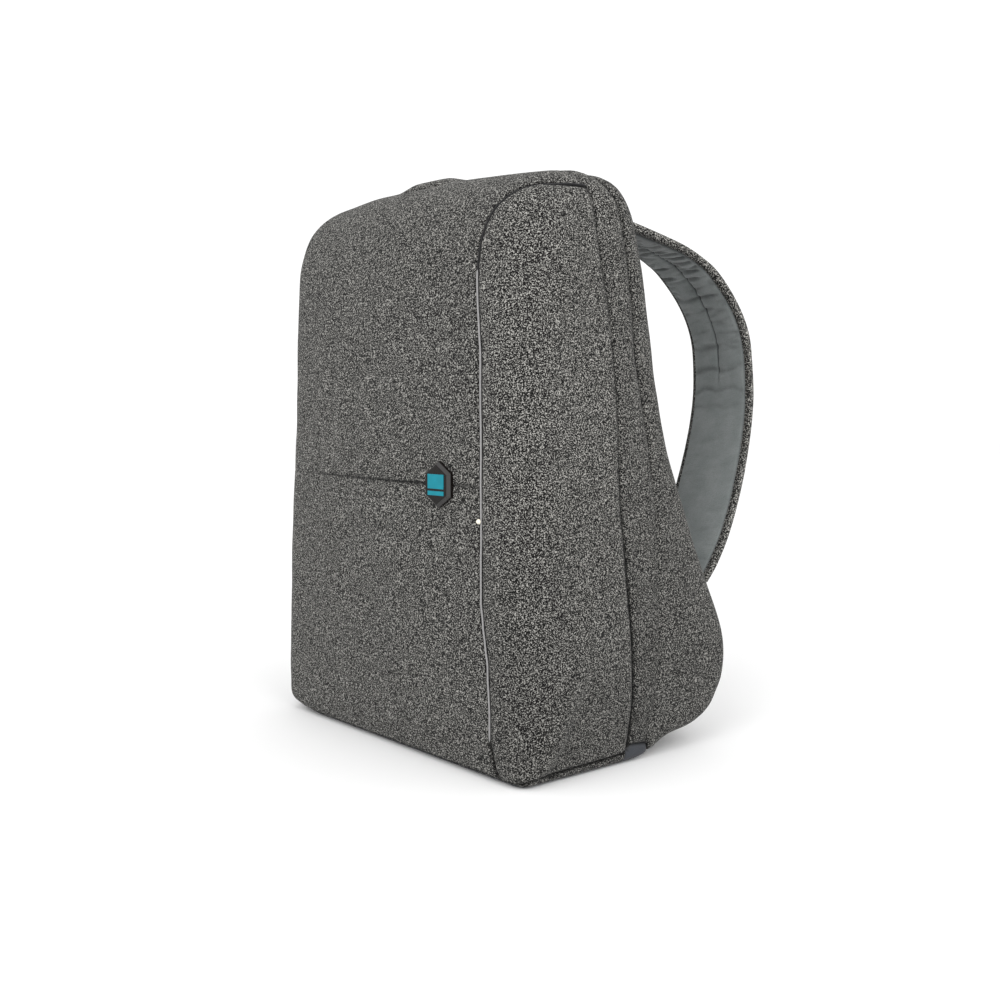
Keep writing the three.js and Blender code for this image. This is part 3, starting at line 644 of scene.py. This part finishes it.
def swell(obj, pinned, cap):
    """Lets a closed skin swell under a little air, held where pinned is 1, and moved no further than cap."""
    frames = 20
    start = vertices_of(obj)
    group = obj.vertex_groups.new(name="pin")
    for level in np.unique(np.round(pinned, 1)):
        group.add([int(i) for i in np.nonzero(np.round(pinned, 1) == level)[0]], float(level), "REPLACE")
    mod = obj.modifiers.new("Cloth", "CLOTH")
    s = mod.settings
    s.quality = 4
    s.mass = 0.3
    s.tension_stiffness = s.compression_stiffness = 25
    s.shear_stiffness = 8
    s.bending_stiffness = 3
    s.use_pressure = True
    s.uniform_pressure_force = 4.0
    s.vertex_group_mass = "pin"
    s.effector_weights.gravity = 0
    mod.collision_settings.use_collision = False
    mod.point_cache.frame_start, mod.point_cache.frame_end = 1, frames
    for f in range(1, frames + 1):
        bpy.context.scene.frame_set(f)
    dg = bpy.context.evaluated_depsgraph_get()
    moved = obj.evaluated_get(dg).to_mesh()
    co = np.zeros(len(moved.vertices) * 3, np.float32)
    moved.vertices.foreach_get("co", co)
    obj.evaluated_get(dg).to_mesh_clear()
    obj.modifiers.clear()
    bpy.context.scene.frame_set(1)
    step = co.reshape(-1, 3) - start
    size = np.linalg.norm(step, axis=1)
    step *= (cap * np.tanh(size / cap) / np.maximum(size, 1e-9))[:, None]
    step = smooth_field(triangles_of(obj), step, 4)
    out = (start + step).astype(np.float32)
    obj.data.vertices.foreach_set("co", out.ravel())
    obj.data.update()


def smooth_field(tris, values, rounds, keep=0.4):
    """Averages values over the neighbours of each vertex, keeping a share of its own."""
    a = np.concatenate([tris[:, 0], tris[:, 1], tris[:, 2]])
    b = np.concatenate([tris[:, 1], tris[:, 2], tris[:, 0]])
    count = np.bincount(np.concatenate([a, b]), minlength=len(values)).astype(float)
    for _ in range(rounds):
        total = np.zeros_like(values)
        np.add.at(total, a, values[b])
        np.add.at(total, b, values[a])
        values = values * keep + total / count[:, None] * (1 - keep)
    return values


rear_line, groove_line, base_line = [rows * (BAG_DEPTH, BAG_HEIGHT)
                                     for rows in (REAR_SEAM, GROOVE, BASE_SEAM)]
right_line = opening_line()
arch_right, arch_left = [np.vstack([line, [line[-1][0] + 0.3, ARCH_HEIGHT], [FAR, ARCH_HEIGHT]])
                         for line in (right_line, left_line())]
# How far past another seam's line a seam is still drawn, and where the left one ends above the rounded foot
SEAM_OVERLAP = 1.5
LEFT_SEAM_FOOT = 34


def seam_fields(p):
    """Signed distance from each point to each seam: positive behind, above, or beside the opening."""
    x, y, z = p[:, 0], p[:, 1], p[:, 2]
    return {
        "rear": -signed_to_line(y, z, rear_line),
        "groove": -signed_to_line(y, z, groove_line),
        "base": signed_to_line(y, z, base_line),
        "right": -signed_to_line(x, z, arch_right),
        "left": -signed_to_line(-x, z, arch_left),
        "front": z - FRONT_SEAM_HEIGHT,
    }


def on_seam(p, which, f):
    """Whether a stretch of a seam's line is really sewn at these points."""
    above_base = f["base"] > -SEAM_OVERLAP
    beside = above_base & (f["rear"] < SEAM_OVERLAP)
    return {
        "rear": above_base,
        "groove": above_base,
        "base": np.ones(len(p), bool),
        "right": beside & (p[:, 0] > 0),
        "left": beside & (p[:, 0] < 0) & (p[:, 2] > LEFT_SEAM_FOOT),
        "front": (f["right"] < 1.0) & (f["left"] < 1.0) & (p[:, 1] < 40),
    }[which]


body_v, body_f = bag_skin()
body = make_object("bag_skin", place(body_v), body_f, None)
remesh = body.modifiers.new("Remesh", "REMESH")
remesh.mode = "VOXEL"
remesh.voxel_size = 0.004
apply_modifiers(body)
soft = body.modifiers.new("Smooth", "SMOOTH")
soft.factor = 0.5
soft.iterations = 3
apply_modifiers(body)


def local(points):
    return np.asarray(points, float) / MM - (0.0, FRAME_SHIFT, 0.0)


p = local(vertices_of(body))
f = seam_fields(p)
# held firmly along the seams, less along the one across the front, and fully near the floor
pin = np.full(len(p), 0.15)
for which in f:
    hold = 0.45 if which == "front" else 0.85
    pin = np.maximum(pin, np.exp(-(f[which] / 9.0) ** 2) * on_seam(p, which, f) * hold)
swell(body, np.where(p[:, 2] < 6, 1.0, pin), cap=0.0028)

sub = body.modifiers.new("Subdivision", "SUBSURF")
sub.levels = sub.render_levels = 1
apply_modifiers(body)

points = local(vertices_of(body))
tris = triangles_of(body)
bpy.data.objects.remove(body)
# Stand flat on the floor
points[:, 2] = np.maximum(points[:, 2], 0.0)

# Each seam: how deep, how wide its roll is, the painted shade at its bottom, and the half width of that
# painted dark line
SEAMS = {
    "rear": (2.5, 2.2, 1.0, 1.4),
    "groove": (2.4, 3.5, 0.42, 2.2),
    "base": (2.5, 1.3, 1.0, 1.4),
    "right": (2.0, 1.4, 1.0, 1.3),
    "left": (1.9, 1.4, 0.9, 1.0),
    "front": (1.3, 1.3, 0.9, 1.0),
}
# The mesh is cut along each seam and again on both sides of it, and kept as it is beyond NEAR
NEAR = 12.0
for which in SEAMS:
    points, tris = cut(points, tris, seam_fields(points)[which])
    for level in (-0.8, 0.8):
        f = seam_fields(points)
        g = np.where(on_seam(points, which, f), f[which] - level, NEAR)
        points, tris = cut(points, tris, np.where(np.abs(g) < NEAR, g, NEAR), snap=0.2)

fields = seam_fields(points)
normals = vertex_normals(points, tris)
masks = {w: on_seam(points, w, fields) for w in fields}
depth = np.zeros(len(points))
seam_painted_shade = np.zeros(len(points))
x, y, z = points.T
lower = np.clip((250 - z) / 120, 0, 1)
for which, (deep, wide, dark, line) in SEAMS.items():
    d = np.abs(fields[which])
    strength = np.ones(len(points))
    if which == "rear":
        strength = 0.5 + 0.5 * lower
    if which == "groove":
        strength = 0.25 + 0.75 * np.clip((z - 120) / 160, 0, 1)
    if which == "front":
        strength = np.where((x > 2) & (x < 64), 1.0, 0.65) * np.clip((118 + x) / 40, 0.25, 1)
    depth = np.maximum(depth, np.where(masks[which], deep * strength * np.exp(-(d / wide) ** 1.2), 0))
    # Painted shade along the bottom of each seam's groove
    groove_shade = dark * strength * np.clip(1 - (d - 0.3) / line, 0, 1)
    seam_painted_shade = np.maximum(seam_painted_shade, np.where(masks[which], groove_shade, 0))

# Panels sit a little proud between their seams, uneven as stuffed cloth is
broad = wobble(points * (1, 1, 0.55), 62.0, 1) * 1.5 + wobble(points, 27.0, 2) * 0.5
front_face = np.clip((12 - y) / 10, 0, 1) * np.clip((z - 60) / 60, 0, 1)
streaks = wobble(points * (1, 0.3, 0.13), 17.0, 3) * 0.9 * front_face * np.clip((430 - z) / 60, 0, 1)
relief = (broad + streaks) * np.clip(z / 25, 0, 1)
points = points - normals * (depth - relief)[:, None]
points[:, 2] = np.maximum(points[:, 2], 0.0)

# Regions, by the middle of each triangle
mid = points[tris].mean(1)
mf = {w: v[tris].mean(1) for w, v in fields.items()}
behind = mf["rear"] > 0
padded_back = behind & (mf["groove"] > 0)
base_part = mf["base"] < 0
right_side = ~behind & (mf["right"] > 0) & (mid[:, 0] > 0)
left_side = ~behind & (mf["left"] > 0) & (mid[:, 0] < 0)
front = ~behind & ~right_side & ~left_side
top_cut = ARCH_HEIGHT - EDGE_RADIUS
gusset = behind & ~padded_back
base_floor = base_part & ((mid[:, 2] < 2.2) | (mid[:, 1] > 101))
above, on_right, on_top = mf["front"] > 0, mid[:, 0] > 0, mid[:, 2] >= top_cut
# piece, its triangles, material, slot, and the solids it stands in for
PANELS = [
    ("cloth_front_upper", ~base_part & front & above, MELANGE, "melange_cloth", ["front_panel_upper"]),
    ("cloth_front_lower", ~base_part & front & ~above, MELANGE, "melange_cloth", ["front_panel_lower"]),
    ("cloth_side_right", ~base_part & right_side, MELANGE_SIDE, "melange_cloth", ["side_panel_right"]),
    ("cloth_side_left", ~base_part & left_side, MELANGE_SIDE, "melange_cloth", ["side_panel_left"]),
    ("cloth_gusset_right", ~base_part & gusset & on_right & ~on_top, MELANGE_GUSSET_SHADED, "melange_cloth",
     ["gusset_right"]),
    ("cloth_gusset_left", ~base_part & gusset & ~on_right & ~on_top, MELANGE_GUSSET_SHADED, "melange_cloth",
     ["gusset_left"]),
    ("cloth_gusset_top", ~base_part & gusset & on_top, MELANGE_SIDE, "melange_cloth", ["gusset_top"]),
    ("cloth_back_padded", ~base_part & padded_back, MELANGE_BACK_SHADED, "melange_cloth", ["back_panel"]),
    ("cloth_base_strip", base_part & ~base_floor, MELANGE_BACK_SHADED, "melange_cloth", []),
    ("cloth_base_floor", base_floor, COATED, "coated_cloth", ["base_panel"]),
]


def add_panel(name, chosen, material, slot, nodes):
    used, faces = np.unique(tris[chosen], return_inverse=True)
    obj = make_object(name, place(points[used]), faces.reshape(-1, 3), material)
    # the painted seam shade goes with each panel for its material to read
    mark_painted_shade(obj, seam_painted_shade[used])
    return dress(obj, slot, *nodes)


panels = {row[0]: add_panel(*row) for row in PANELS}


# Lines sewn into the seams
def tube(name, path, radius, material, sides):
    """A smooth tube along a path, tapered at both ends."""
    tangent = np.gradient(path, axis=0)
    tangent /= np.linalg.norm(tangent, axis=1)[:, None]
    up = skin_normals_near(path)
    up = up - (up * tangent).sum(1)[:, None] * tangent
    up /= np.linalg.norm(up, axis=1)[:, None]
    across = np.cross(tangent, up)
    angles = np.arange(sides) / sides * 2 * math.pi
    n = len(path)
    taper = np.minimum(np.minimum(np.arange(n), np.arange(n)[::-1]) / 3.0, 1.0)
    size = (radius * np.sqrt(np.clip(1 - (1 - taper) ** 2, 0.02, 1)))[:, None, None]
    rings = (path[:, None] + across[:, None] * np.cos(angles)[None, :, None] * size
             + up[:, None] * np.sin(angles)[None, :, None] * size)
    return make_object(name, place(rings.reshape(-1, 3)), tube_faces(n, sides), material)


skin_tree = KDTree(len(points))
for i, p in enumerate(points):
    skin_tree.insert(Vector(p), i)
skin_tree.balance()
skin_normals = vertex_normals(points, tris)


def skin_normals_near(path):
    out = []
    for p in path:
        found = skin_tree.find_n(Vector(p), 12)
        out.append(np.mean([skin_normals[i] for _, i, _ in found], 0))
    out = eased(np.array(out), 6)
    return out / np.linalg.norm(out, axis=1)[:, None]


def settle(path, lift):
    """Points pulled to the skin's seam and lifted off it, smoothed along the line."""
    near = np.array([points[skin_tree.find(Vector(p))[1]] for p in path])
    normal = skin_normals_near(path)
    inwards = eased(((near - path) * normal).sum(1), 24)
    return path + normal * (inwards + lift)[:, None]


LINE_STEP = 1.5


def front_path(line, low, high):
    z = np.arange(low, high, LINE_STEP)
    return on_front(np.interp(z, line[:, 1], line[:, 0]), z, 0.0)


piping_path = settle(front_path(right_line, PIPING_FOOT, PIPING_TOP), 0.8)
dress(tube("piping_reflective", piping_path, 0.75, REFLECTIVE, sides=10), "reflective_tape", "piping_right")


def arch_path(line):
    """The opening's seam above the piping: up the front, round the arch and back to the rear seam."""
    up = front_path(line, PIPING_TOP - 4, line[-1, 1])
    back = []
    for x in np.arange(line[-1, 0] + LINE_STEP, 151, LINE_STEP):
        # the skin's point at this x on the arch's height, found along the front-top edge
        tries = [(x, y, ARCH_HEIGHT) for y in np.linspace(-5, 78, 84)]
        back.append(tries[int(np.argmin([skin_tree.find(Vector(q))[2] for q in tries]))])
    path = np.vstack([up, [b for b in back if b[1] < rear_line[-2][0] + 2]])
    return dense(eased(path, 12), LINE_STEP)


dress(tube("opening_zip_arch", settle(arch_path(right_line), 0.0), 1.0, ZIP_BLACK, sides=8), "webbing")

# Stud on the piping
stud_centre = (np.array(stud_box[0]) + np.array(stud_box[1])) / 2


def dome(name, centre, radius, height, material):
    """A low domed button facing -Y, with a small flange."""
    profile = [(0.01, height), (0.35, height * 0.97), (0.62, height * 0.82), (0.82, height * 0.55),
               (0.93, height * 0.28), (1.0, height * 0.22), (1.0, 0.0)]
    sides = 32
    turns = [k / sides * 2 * math.pi for k in range(sides)]
    verts = [(centre[0] + share * radius * math.cos(a), centre[1] - up,
              centre[2] + share * radius * math.sin(a)) for share, up in profile for a in turns]
    return make_object(name, verts, tube_faces(len(profile), sides), material)


stud = dome("stud_domed", (stud_centre[0], stud_box[1].y + 0.0012, stud_centre[2]), 0.0019, 0.0022, CREAM)
dress(stud, "stud_cream", "piping_stud")


# Badge: a pointed hexagon with a broad bevel, rounded arrises and two plain teal fields
def prism_piece(name, outline, levels, seat, turn, material):
    """Rings of an outline at levels (inset, height), closed at both ends, facing -Y and turned about Z."""
    outline = np.asarray(outline, float)
    edge = np.roll(outline, -1, 0) - outline
    out_n = np.stack([edge[:, 1], -edge[:, 0]], 1) / np.linalg.norm(edge, axis=1)[:, None]
    mitre = out_n + np.roll(out_n, 1, 0)
    mitre /= (mitre * out_n).sum(1)[:, None]
    x, y, z = np.array([(px, -up, pz) for inset, up in levels for px, pz in outline - mitre * inset]).T
    c, s = math.cos(turn), math.sin(turn)
    verts = np.stack([x * c - y * s, x * s + y * c, z], 1) + seat
    return make_object(name, place(verts), tube_faces(len(levels), len(outline)), material, smooth=False)


BADGE_X, BADGE_WIDTH, BADGE_HEIGHT, BADGE_THICKNESS, BADGE_BEVEL = 78.0, 26.0, 34.0, 5.4, 3.0
# the badge is turned to the front's slope between its place and one millimetre beside it
badge_seat, beside_it = on_front(np.array([BADGE_X, BADGE_X + 1.0]), np.full(2, FRONT_SEAM_HEIGHT), 0.0)
badge_turn = math.atan2(beside_it[1] - badge_seat[1], 1.0)
hexagon = [(BADGE_WIDTH * across, BADGE_HEIGHT * up) for across, up in (
    (0, -0.5), (0.5, -0.25), (0.5, 0.25), (0, 0.5), (-0.5, 0.25), (-0.5, -0.25))]
shoulder = BADGE_THICKNESS - BADGE_BEVEL
badge = prism_piece("badge_bevelled", hexagon, [
    (0.25, -1.0), (0.0, 0.2), (0.0, shoulder), (0.18, shoulder + 0.25),
    (BADGE_BEVEL * 0.62, BADGE_THICKNESS - 0.22), (BADGE_BEVEL * 0.72, BADGE_THICKNESS - 0.05),
    (BADGE_BEVEL * 0.85, BADGE_THICKNESS)], badge_seat, badge_turn, BADGE)
badge.data.materials.append(BADGE_BEVEL_HIGHLIGHT)
# the bevel's six facets are the ring between the fourth and fifth levels, and take the lighter copy as a
# painted highlight
for facet in badge.data.polygons[3 * len(hexagon):4 * len(hexagon)]:
    facet.material_index = 1
dress(badge, "badge_black", "badge")


def field(name, width, height, middle, node):
    outline = [(width * across, middle + height * up) for across, up in (
        (-0.5, -0.5), (0.5, -0.5), (0.5, 0.5), (-0.5, 0.5))]
    levels = [(0, BADGE_THICKNESS - 0.2), (0, BADGE_THICKNESS + 0.25), (0.12, BADGE_THICKNESS + 0.38)]
    dress(prism_piece(name, outline, levels, badge_seat, badge_turn, TEAL), "badge_teal", node)


TILE_WIDTH, TILE_HEIGHT, BAR_HEIGHT, TILE_SPACING = 17.0, 10.6, 3.2, 1.6
fields_height = TILE_HEIGHT + TILE_SPACING + BAR_HEIGHT
field("badge_field_tile", TILE_WIDTH, TILE_HEIGHT, (fields_height - TILE_HEIGHT) / 2, "badge_tile")
field("badge_field_bar", TILE_WIDTH, BAR_HEIGHT, -(fields_height - BAR_HEIGHT) / 2, "badge_bar")


# Straps
_back = outline_at(np.linspace(15 / ROWS, 18 / ROWS, 200))
BACK_ROOT_Y = float(np.interp(-STRAP_ROOT_HEIGHT, -_back["z"], _back["y"]))


def strap_frames(side, t):
    def at(s):
        r = curve(STRAP, s, False)
        centre = np.stack([side * (STRAP_ROOT_X + r[:, 2] * STRAP_FLARE), BACK_ROOT_Y + r[:, 0] * STRAP_REACH,
                           STRAP_ROOT_HEIGHT - r[:, 1] * STRAP_DROP], 1)
        return centre, np.radians(r[:, 3]), r[:, 4] * STRAP_WIDTH, r[:, 5] * STRAP_THICKNESS
    centre, twist, width, thick = at(t)
    along = at(np.minimum(t + 1e-3, 1))[0] - at(np.maximum(t - 1e-3, 0))[0]
    out = np.stack([np.zeros(len(t)), -along[:, 2], along[:, 1]], 1)
    out /= np.linalg.norm(out, axis=1)[:, None]
    side_x = np.zeros_like(out)
    side_x[:, 0] = side
    across = side_x * np.cos(twist)[:, None] + out * np.sin(twist)[:, None]
    outward = out * np.cos(twist)[:, None] - side_x * np.sin(twist)[:, None]
    length = np.concatenate([[0], np.cumsum(np.linalg.norm(np.diff(centre, axis=0), axis=1))])
    return centre, across, outward, width, thick, length


# The padding's swell over the part's thickness, and the border of cover that shows round the lining
STRAP_PUFF = 1.14
STRAP_BORDER = LINING_BORDER * 0.72


def strap_pieces(side, hand):
    t = np.linspace(0, 1, 330)
    centre, across, outward, width, thick, length = strap_frames(side, t)
    # melange cover: outer face, both edges, and a narrow turn on to the inner face
    cols = 72
    c, s = round_corners(cols)
    # a flat section with round edges: superellipse with a crowned outer face
    ex, ez = superellipse(c, 0.42), superellipse(s, 0.62)
    crowned = np.where(s > 0, 1.0 - 0.10 * np.abs(ex) ** 3, 1.0)
    rows = []
    for i in range(len(t)):
        w, h = width[i] / 2, thick[i] / 2 * STRAP_PUFF
        px = ex * w
        under_lining = np.clip((w - STRAP_BORDER - np.abs(px)) / 2.5, 0, 1) * (s < 0)
        pz = ez * h * crowned + under_lining * 3.0
        rows.append(centre[i] + across[i] * px[:, None] + outward[i] * pz[:, None])
    verts = np.vstack(rows)
    u = np.repeat(length, cols)
    v = np.tile(ex, len(t)) * np.repeat(width / 2, cols)
    outer = np.tile(s > 0, len(t))
    puff = np.array([noise.noise(Vector((a / 38, b / 30, side * 3.3))) for a, b in zip(u, v)]) * 0.7
    verts += np.repeat(outward, cols, 0) * (puff * np.where(outer, 1, -1) * 0.8)[:, None]
    cover = make_object("strap_cover_" + hand, place(verts), tube_faces(len(t), cols), MELANGE_STRAP)
    # Painted shade along the cover's inner face where it turns under the lining
    mark_painted_shade(cover, np.exp(-((np.tile(s, len(t)) + 0.62) / 0.16) ** 2) * 0.35)
    dress(cover, "melange_cloth", "shoulder_strap_" + hand)

    # lining: two lengthwise channels with gathers, one channel further down, and creases where it bends
    cols = 84
    share = np.linspace(-1, 1, cols)
    total = length[-1]
    verts, dark = [], []
    seam_end = 0.60 * total
    for i in range(len(t)):
        w = width[i] / 2 - STRAP_BORDER
        px = share * w
        channel = np.clip((seam_end - length[i]) / 26, 0, 1)
        lobe = np.sqrt(np.clip(1 - (2 * np.abs(share) - 1) ** 2, 0, 1))
        pillow = np.sqrt(np.clip(1 - share ** 2, 0, 1))
        rise = 1.7 * (lobe * channel + pillow * (1 - channel))
        centre_line = np.exp(-(px / 0.9) ** 2) * channel
        edge_line = np.exp(-((np.abs(share) - 1) * w / 1.3) ** 2)
        gather = gathers(length[i], px, total, side) * np.clip((1 - np.abs(share)) * w / 3.5, 0, 1)
        seat = thick[i] / 2 * STRAP_PUFF
        lift = seat - 0.5 + rise + gather - centre_line * 1.3 - edge_line * 0.9
        lift = np.clip(lift, seat - 2.3, seat + 2.0)
        verts.append(centre[i] + across[i] * px[:, None] - outward[i] * lift[:, None])
        # Painted shadow near the root, and painted shade in the seams, edges and gathers
        root_shade = 0.8 * np.clip(1.6 - length[i] / (0.22 * total), 0, 1)
        fold_shade = centre_line * 0.8 + edge_line * 0.6 + np.clip(-gather, 0, 2) * 0.22
        dark.append(np.clip(fold_shade + root_shade, 0, 1))
    verts, dark = np.vstack(verts), np.concatenate(dark)
    lining = make_object("strap_lining_gathered_" + hand, place(verts), grid_faces(len(t), cols), LINING)
    mark_painted_shade(lining, dark)
    dress(lining, "lining_mesh", "strap_lining_" + hand)


# The deeper creases: their place along the strap, depth, width, and seed
CREASES = ((0.560, 2.0, 2.4, 1), (0.600, 1.3, 2.0, 2), (0.635, 0.9, 2.0, 3), (0.515, 1.1, 2.0, 4))


def gathers(at, px, total, side):
    """Crosswise puckers along the bent part of the lining, and a few deeper creases where it turns down."""
    bent = np.exp(-((at - 0.33 * total) / (0.17 * total)) ** 2)
    out = np.zeros_like(px)
    for k, q in enumerate(px):
        slant = at + abs(q) * 0.18 * (1 if q > 0 else -1)
        n = noise.noise(Vector((slant / 4.4, q / 20.0, 5.1 + side)))
        m = noise.noise(Vector((slant / 9.5, q / 33.0, 9.4 + side)))
        out[k] = -max(n, 0) * 4.4 - max(m, 0) * 1.8
    out *= 0.14 + 0.86 * bent
    for where, deep, wide, seed in CREASES:
        offset = np.array([noise.noise(Vector((q / 17.0, seed * 3.7, side))) for q in px]) * 5.0 + px * 0.06
        fade = 0.45 + 0.55 * np.clip(-px / 20 + 0.5, 0, 1)
        out -= deep * fade * np.exp(-((at - where * total + offset) / wide) ** 2)
    return out


HANDS = ((1, "right"), (-1, "left"))
for side, hand in HANDS:
    strap_pieces(side, hand)


# Lower webbing and its adjusters: a flat woven band through the slots of a rounded frame
_lumbar = outline_at(np.linspace(20 / ROWS, 26 / ROWS, 500))
WEBBING_WIDTH, WEBBING_THICKNESS, WEBBING_FOOT = 25.0, 1.8, 30.0


def webbing_piece(side, hand):
    x = side * (STRAP_ROOT_X + STRAP_FLARE)
    before_end, start = strap_frames(side, np.array([0.985, 1.0]))[0]
    order = np.argsort(_lumbar["z"])
    zz = _lumbar["z"][order]

    def lie(z):
        y = np.interp(z, zz, _lumbar["y"][order])
        oy, oz = np.interp(z, zz, _lumbar["oy"][order]), np.interp(z, zz, _lumbar["oz"][order])
        return np.array([x, y + oy * WEBBING_THICKNESS, z + oz * WEBBING_THICKNESS]), np.array([0, oy, oz])
    stops = [start + (start - before_end) * -1.2, start]
    stops += [lie(WEBBING_FOOT + (start[2] - WEBBING_FOOT) * k)[0] for k in (0.74, 0.6, 0.45, 0.3, 0.15, 0.0)]
    last, normal = lie(WEBBING_FOOT)
    stops.append(last - normal * 5 + (0, 0, -5))
    t = np.linspace(0, 1, 90)
    stops = np.array(stops)
    padded_stops = np.hstack([stops, np.zeros((len(stops), 1))])
    path = curve(padded_stops, t, False)[:, :3]
    along = np.gradient(path, axis=0)
    out = np.stack([np.zeros(len(t)), -along[:, 2], along[:, 1]], 1)
    out /= np.linalg.norm(out, axis=1)[:, None]
    cols = 28
    c, s = round_corners(cols)
    ex = superellipse(c, 0.35) * WEBBING_WIDTH / 2
    ez = superellipse(s, 0.9) * WEBBING_THICKNESS / 2
    verts = path[:, None] + np.array([1.0, 0, 0]) * ex[None, :, None] + out[:, None] * ez[None, :, None]
    obj = make_object("webbing_woven_" + hand, place(verts.reshape(-1, 3)), tube_faces(len(t), cols), WEBBING)
    dress(obj, "webbing", "lower_webbing_" + hand)


for side, hand in HANDS:
    webbing_piece(side, hand)


def rounded_copy(name, node_name, material, width, slot):
    """The CAD piece with its sharp arrises rounded, in its own place."""
    obj = bpy.data.objects.new(name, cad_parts[node_name].data.copy())
    bpy.context.scene.collection.objects.link(obj)
    obj.data.materials.clear()
    obj.data.materials.append(material)
    weld = obj.modifiers.new("Weld", "WELD")
    weld.merge_threshold = 0.00001
    flat = obj.modifiers.new("Planar", "DECIMATE")
    flat.decimate_type = "DISSOLVE"
    flat.angle_limit = math.radians(3)
    bevel = obj.modifiers.new("Bevel", "BEVEL")
    bevel.width = width
    bevel.segments = 3
    bevel.limit_method = "ANGLE"
    apply_modifiers(obj)
    obj.data.polygons.foreach_set("use_smooth", [False] * len(obj.data.polygons))
    dress(obj, slot, node_name)


for _, hand in HANDS:
    rounded_copy("adjuster_moulded_" + hand, "strap_adjuster_" + hand, PLASTIC, 0.0007, "black_plastic")


# Carry handle: a padded band bound at its edges and tucked in at both ends
def handle_piece():
    lo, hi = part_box("carry_handle")
    reach = (hi[0] - lo[0]) / MM / 2 * 1.06
    width = 22.0
    r = outline_at(np.linspace(11 / ROWS, 13 / ROWS, 300))
    k = int(np.argmin(np.abs(r["y"] - 46.0)))
    y0, z0, oy, oz, crown, half, radius = (r[q][k] for q in ("y", "z", "oy", "oz", "crown", "half", "radius"))
    t = np.linspace(-1, 1, 120)
    cols = 48
    c, s = round_corners(cols)
    ex = superellipse(c, 0.6)
    wide = ex * width / 2
    pad = np.maximum(1 - np.abs(ex) ** 2.4, 0) ** 0.7
    rise, ramp_length, sunk = 4.6, 25.0, 1.6
    verts = []
    for share in t:
        px = share * reach
        k = np.clip((reach - abs(px)) / ramp_length, 0, 1)
        lift = k * k * (3 - 2 * k)
        up = crown * (1 - (px / (half - radius)) ** 2)
        ez = np.where(s > 0, (rise * lift + 0.5) * pad - 0.5, -sunk * pad - 0.5) + up
        # across the band runs along the outline's tangent, thickness along its normal
        verts.append(np.stack([np.full(cols, px), y0 + oy * ez + oz * wide, z0 + oz * ez - oy * wide], 1))
    obj = make_object("handle_padded", place(np.vstack(verts)), tube_faces(len(t), cols), MELANGE)
    dress(obj, "melange_cloth", "carry_handle")


handle_piece()


# Studio: a pale floor and backdrop, big soft lights, and the photograph's camera
def studio():
    mat, nt, bsdf = new_material("studio_floor")
    co = object_coords(nt)
    nt.links.new(ramp(nt, noise_at(nt, co, 3.0), [(0.3, 0.93), (0.7, 0.94)]), bsdf.inputs["Base Color"])
    give(bsdf, {"Roughness": 0.7, "Specular IOR Level": 0.1})
    floor = make_object("studio_floor", [(-6, -6, 0), (6, -6, 0), (6, 6, 0), (-6, 6, 0)], [(0, 1, 2, 3)], mat)

    world = bpy.data.worlds.new("studio_world")
    bpy.context.scene.world = world
    bpy.context.scene.view_settings.view_transform = "Standard"
    world.use_nodes = True
    background = world.node_tree.nodes["Background"]
    background.inputs[0].default_value = (1.0, 1.0, 1.0, 1)
    background.inputs[1].default_value = 1.1

    def light(name, place_at, aim, size, power):
        data = bpy.data.lights.new(name, "AREA")
        data.shape = "RECTANGLE"
        data.size, data.size_y = size
        data.energy = power
        obj = bpy.data.objects.new(name, data)
        bpy.context.scene.collection.objects.link(obj)
        obj.location = place_at
        obj.rotation_mode = "QUATERNION"
        obj.rotation_quaternion = (Vector(place_at) - Vector(aim)).to_track_quat("Z", "Y")
    light("key_light", (0.8, -1.8, 1.5), (0, 0, 0.2), (1.2, 1.2), 14)
    light("side_light", (1.9, -0.3, 1.3), (0, 0, 0.22), (1.0, 1.4), 12)


def photo_camera():
    azimuth, pitch = math.radians(49.2), math.atan(107 / 1200)
    at = place([(765.2, -546.5, 278.4)])[0]
    data = bpy.data.cameras.new("photo_camera")
    data.sensor_width = 36.0
    data.lens = 43.2
    cam = bpy.data.objects.new("photo_camera", data)
    bpy.context.scene.collection.objects.link(cam)
    cam.location = at
    level = math.cos(pitch)
    view = Vector((-math.sin(azimuth) * level, math.cos(azimuth) * level, -math.sin(pitch)))
    cam.rotation_mode = "QUATERNION"
    cam.rotation_quaternion = (-view).to_track_quat("Z", "Y")
    bpy.context.scene.camera = cam


studio()
photo_camera()
